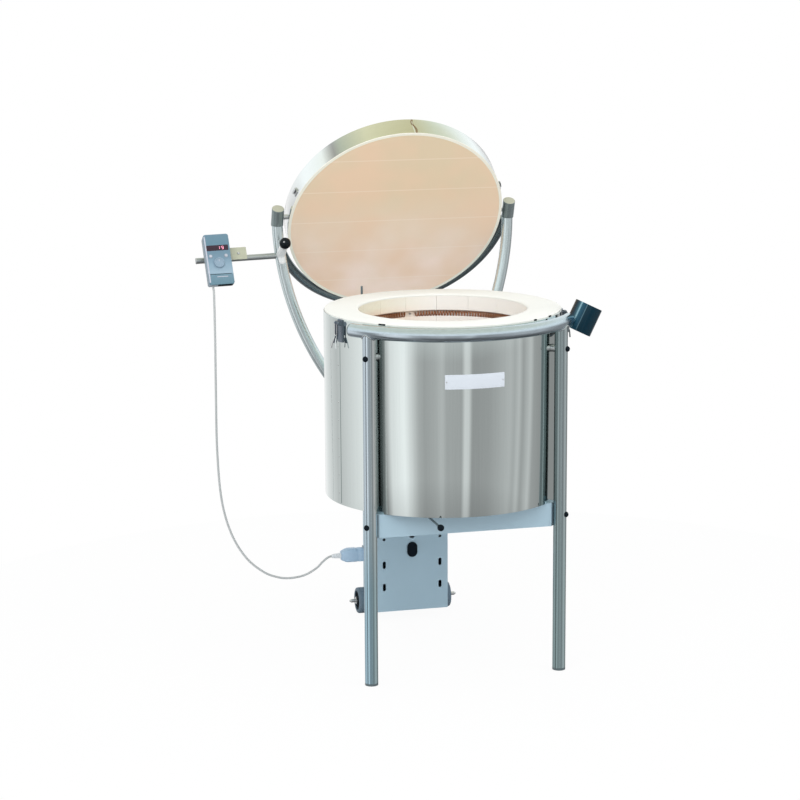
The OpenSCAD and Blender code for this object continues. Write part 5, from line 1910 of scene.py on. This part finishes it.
    def display(self) -> None:
        """A dark window with two plain lit digits at its right."""
        window = block(*self.window, corner=0.0015, edge=0.0006)
        window = window.moved(self.on_face(0, self.display_z, -self.window_sink))
        self.shop.piece("window_glass", window, WINDOW, Part.LID, ("display_window",))
        bars = [self.bar(x, segment) for x, digit in self.digits for segment in digit]
        self.shop.piece("window_digits", joined(bars), DIGIT, Part.LID)

    def bar(self, x: float, segment: str) -> Shell:
        """One bar of a seven-bar digit.

        Args:
            x: where the digit's middle is.
            segment: the bar's letter, from a at the top clockwise to f, and g in the middle.

        Returns:
            The bar, in its place on the display.
        """
        h, w = self.digit_h, self.digit_w
        spots = {"a": (0, h), "b": (w, h / 2), "c": (w, -h / 2), "d": (0, -h), "e": (-w, -h / 2),
                 "f": (-w, h / 2), "g": (0, 0)}
        size = (self.bar_l, self.bar_w) if segment in "adg" else (self.bar_w, self.bar_l)
        dx, dz = spots[segment]
        place = self.on_face(x + dx, self.display_z + dz, 0.0003)
        return block(*size, depth=0.0003, corner=0.0004, edge=self.mark_ease, steps=3).moved(place)

    def controls(self) -> None:
        """Two round buttons with collars and a ringed dial with a pointer."""
        r = self.key_r
        cap = lathe(rounded(((0.0, -0.001), (r, -0.001), (r, 0.0018), (0.0, 0.0018)), 0.0008), 32)
        ring = lathe(rounded(ring_profile(r + GAP, r + 0.0015, -0.0002, 0.0006), 0.0003, 3), 32)
        for side, part in ((Side.LEFT, Part.LEFT_BUTTON), (Side.RIGHT, Part.RIGHT_BUTTON)):
            place = self.on_face(side.value * self.key_x, self.key_z)
            self.shop.piece(f"{side.word}_key", cap.moved(place), PALE, part, (f"{side.word}_button",))
            self.shop.piece(f"{side.word}_key_ring", ring.moved(place), GREY, Part.LID)
        knob = lathe(rounded(self.dial_profile, 0.0008), 56).moved(self.on_face(0, self.dial_z))
        self.shop.piece("dial_knob", knob, DIAL_CAP, Part.DIAL, ("dial",))
        pointer = block(*self.pointer, self.mark_t, corner=0.0005, edge=self.mark_ease, steps=3)
        pointer = pointer.moved(self.on_face(0, self.dial_z + 0.006, 0.0036))
        self.shop.piece("dial_pointer", pointer, PALE, Part.DIAL)

    def clamp(self) -> None:
        """The ball knob, turned about the screw's line, the pad under its stub, and the bar's end cap."""
        place = shifted(*PLAN.clamp) @ turned(x=self.screw_tilt) @ turned(y=-self.screw_turn)
        t = np.linspace(-np.pi / 2 + 0.42, np.pi / 2, 40)
        ball = np.stack([self.ball_r * np.cos(t), self.ball_at + self.ball_r * np.sin(t)], -1)
        knob = lathe(np.concatenate([self.neck_profile, ball]), 48)
        self.shop.piece("ball_knob", knob.moved(place), BALL_BLACK, Part.CLAMP_KNOB, ("clamp_knob",))
        self.pad(place[:3, 2])
        ends = np.array([self.bar_end, self.bar_end + self.bar_cap_l])[:, None] * ALONG_X
        cap = sweep(ends, circle(self.bar_cap_r, 28), ALONG_Z)
        self.shop.piece("bar_end_cap", cap.moved(self.bar_pose), ZINC, Part.LID)

    def pad(self, screw: np.ndarray) -> None:
        """A rounded pad on the bow's left arm, with rows along the arm and columns round it.

        Args:
            screw: the direction of the clamp's screw.
        """
        rows, cols = 25, 21
        s, c = np.meshgrid(np.linspace(-1, 1, rows), np.linspace(-1, 1, cols), indexing="ij")
        down = self.pad_at + self.pad_half * s
        line = np.stack([-PLAN.bow_x(down), down, np.zeros_like(down)], -1)
        along = unit(np.gradient(line, axis=0))
        out = PLAN.bow_pose[:3, :3].T @ screw
        out = unit(out - np.sum(along * out, -1, keepdims=True) * along)
        turn = (math.radians(self.pad_turn) * c * np.sqrt(np.maximum(1 - s ** 4, 0.02)))[..., None]
        reach = (self.pad_r + self.pad_t * (1 - c ** 8) * (1 - s ** 8))[..., None]
        points = line + reach * (np.cos(turn) * out + np.sin(turn) * np.cross(along, out))
        shell = Shell(points.reshape(-1, 3), grid_quads(rows, cols, False, False))
        self.shop.piece("clamp_pad", shell.moved(PLAN.bow_pose), SATIN, Part.LID)


def main() -> None:
    """Builds every assembly in order."""
    logging.basicConfig(level=logging.INFO, format="%(name)s %(message)s")
    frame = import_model()
    stage = Stage()
    stage.build()
    shop = Workshop(frame)
    for kind in (ControlCable, Stand, Chamber, Latches, Lid, Controller):
        kind(shop).build()
        LOG.info("built %s", kind.__name__)
    stage.glint("knob_glint", place=(-1.3, -0.9, 2.2), size=1.1, power=120.0, piece="ball_knob")


if __name__ == "__main__":
    main()
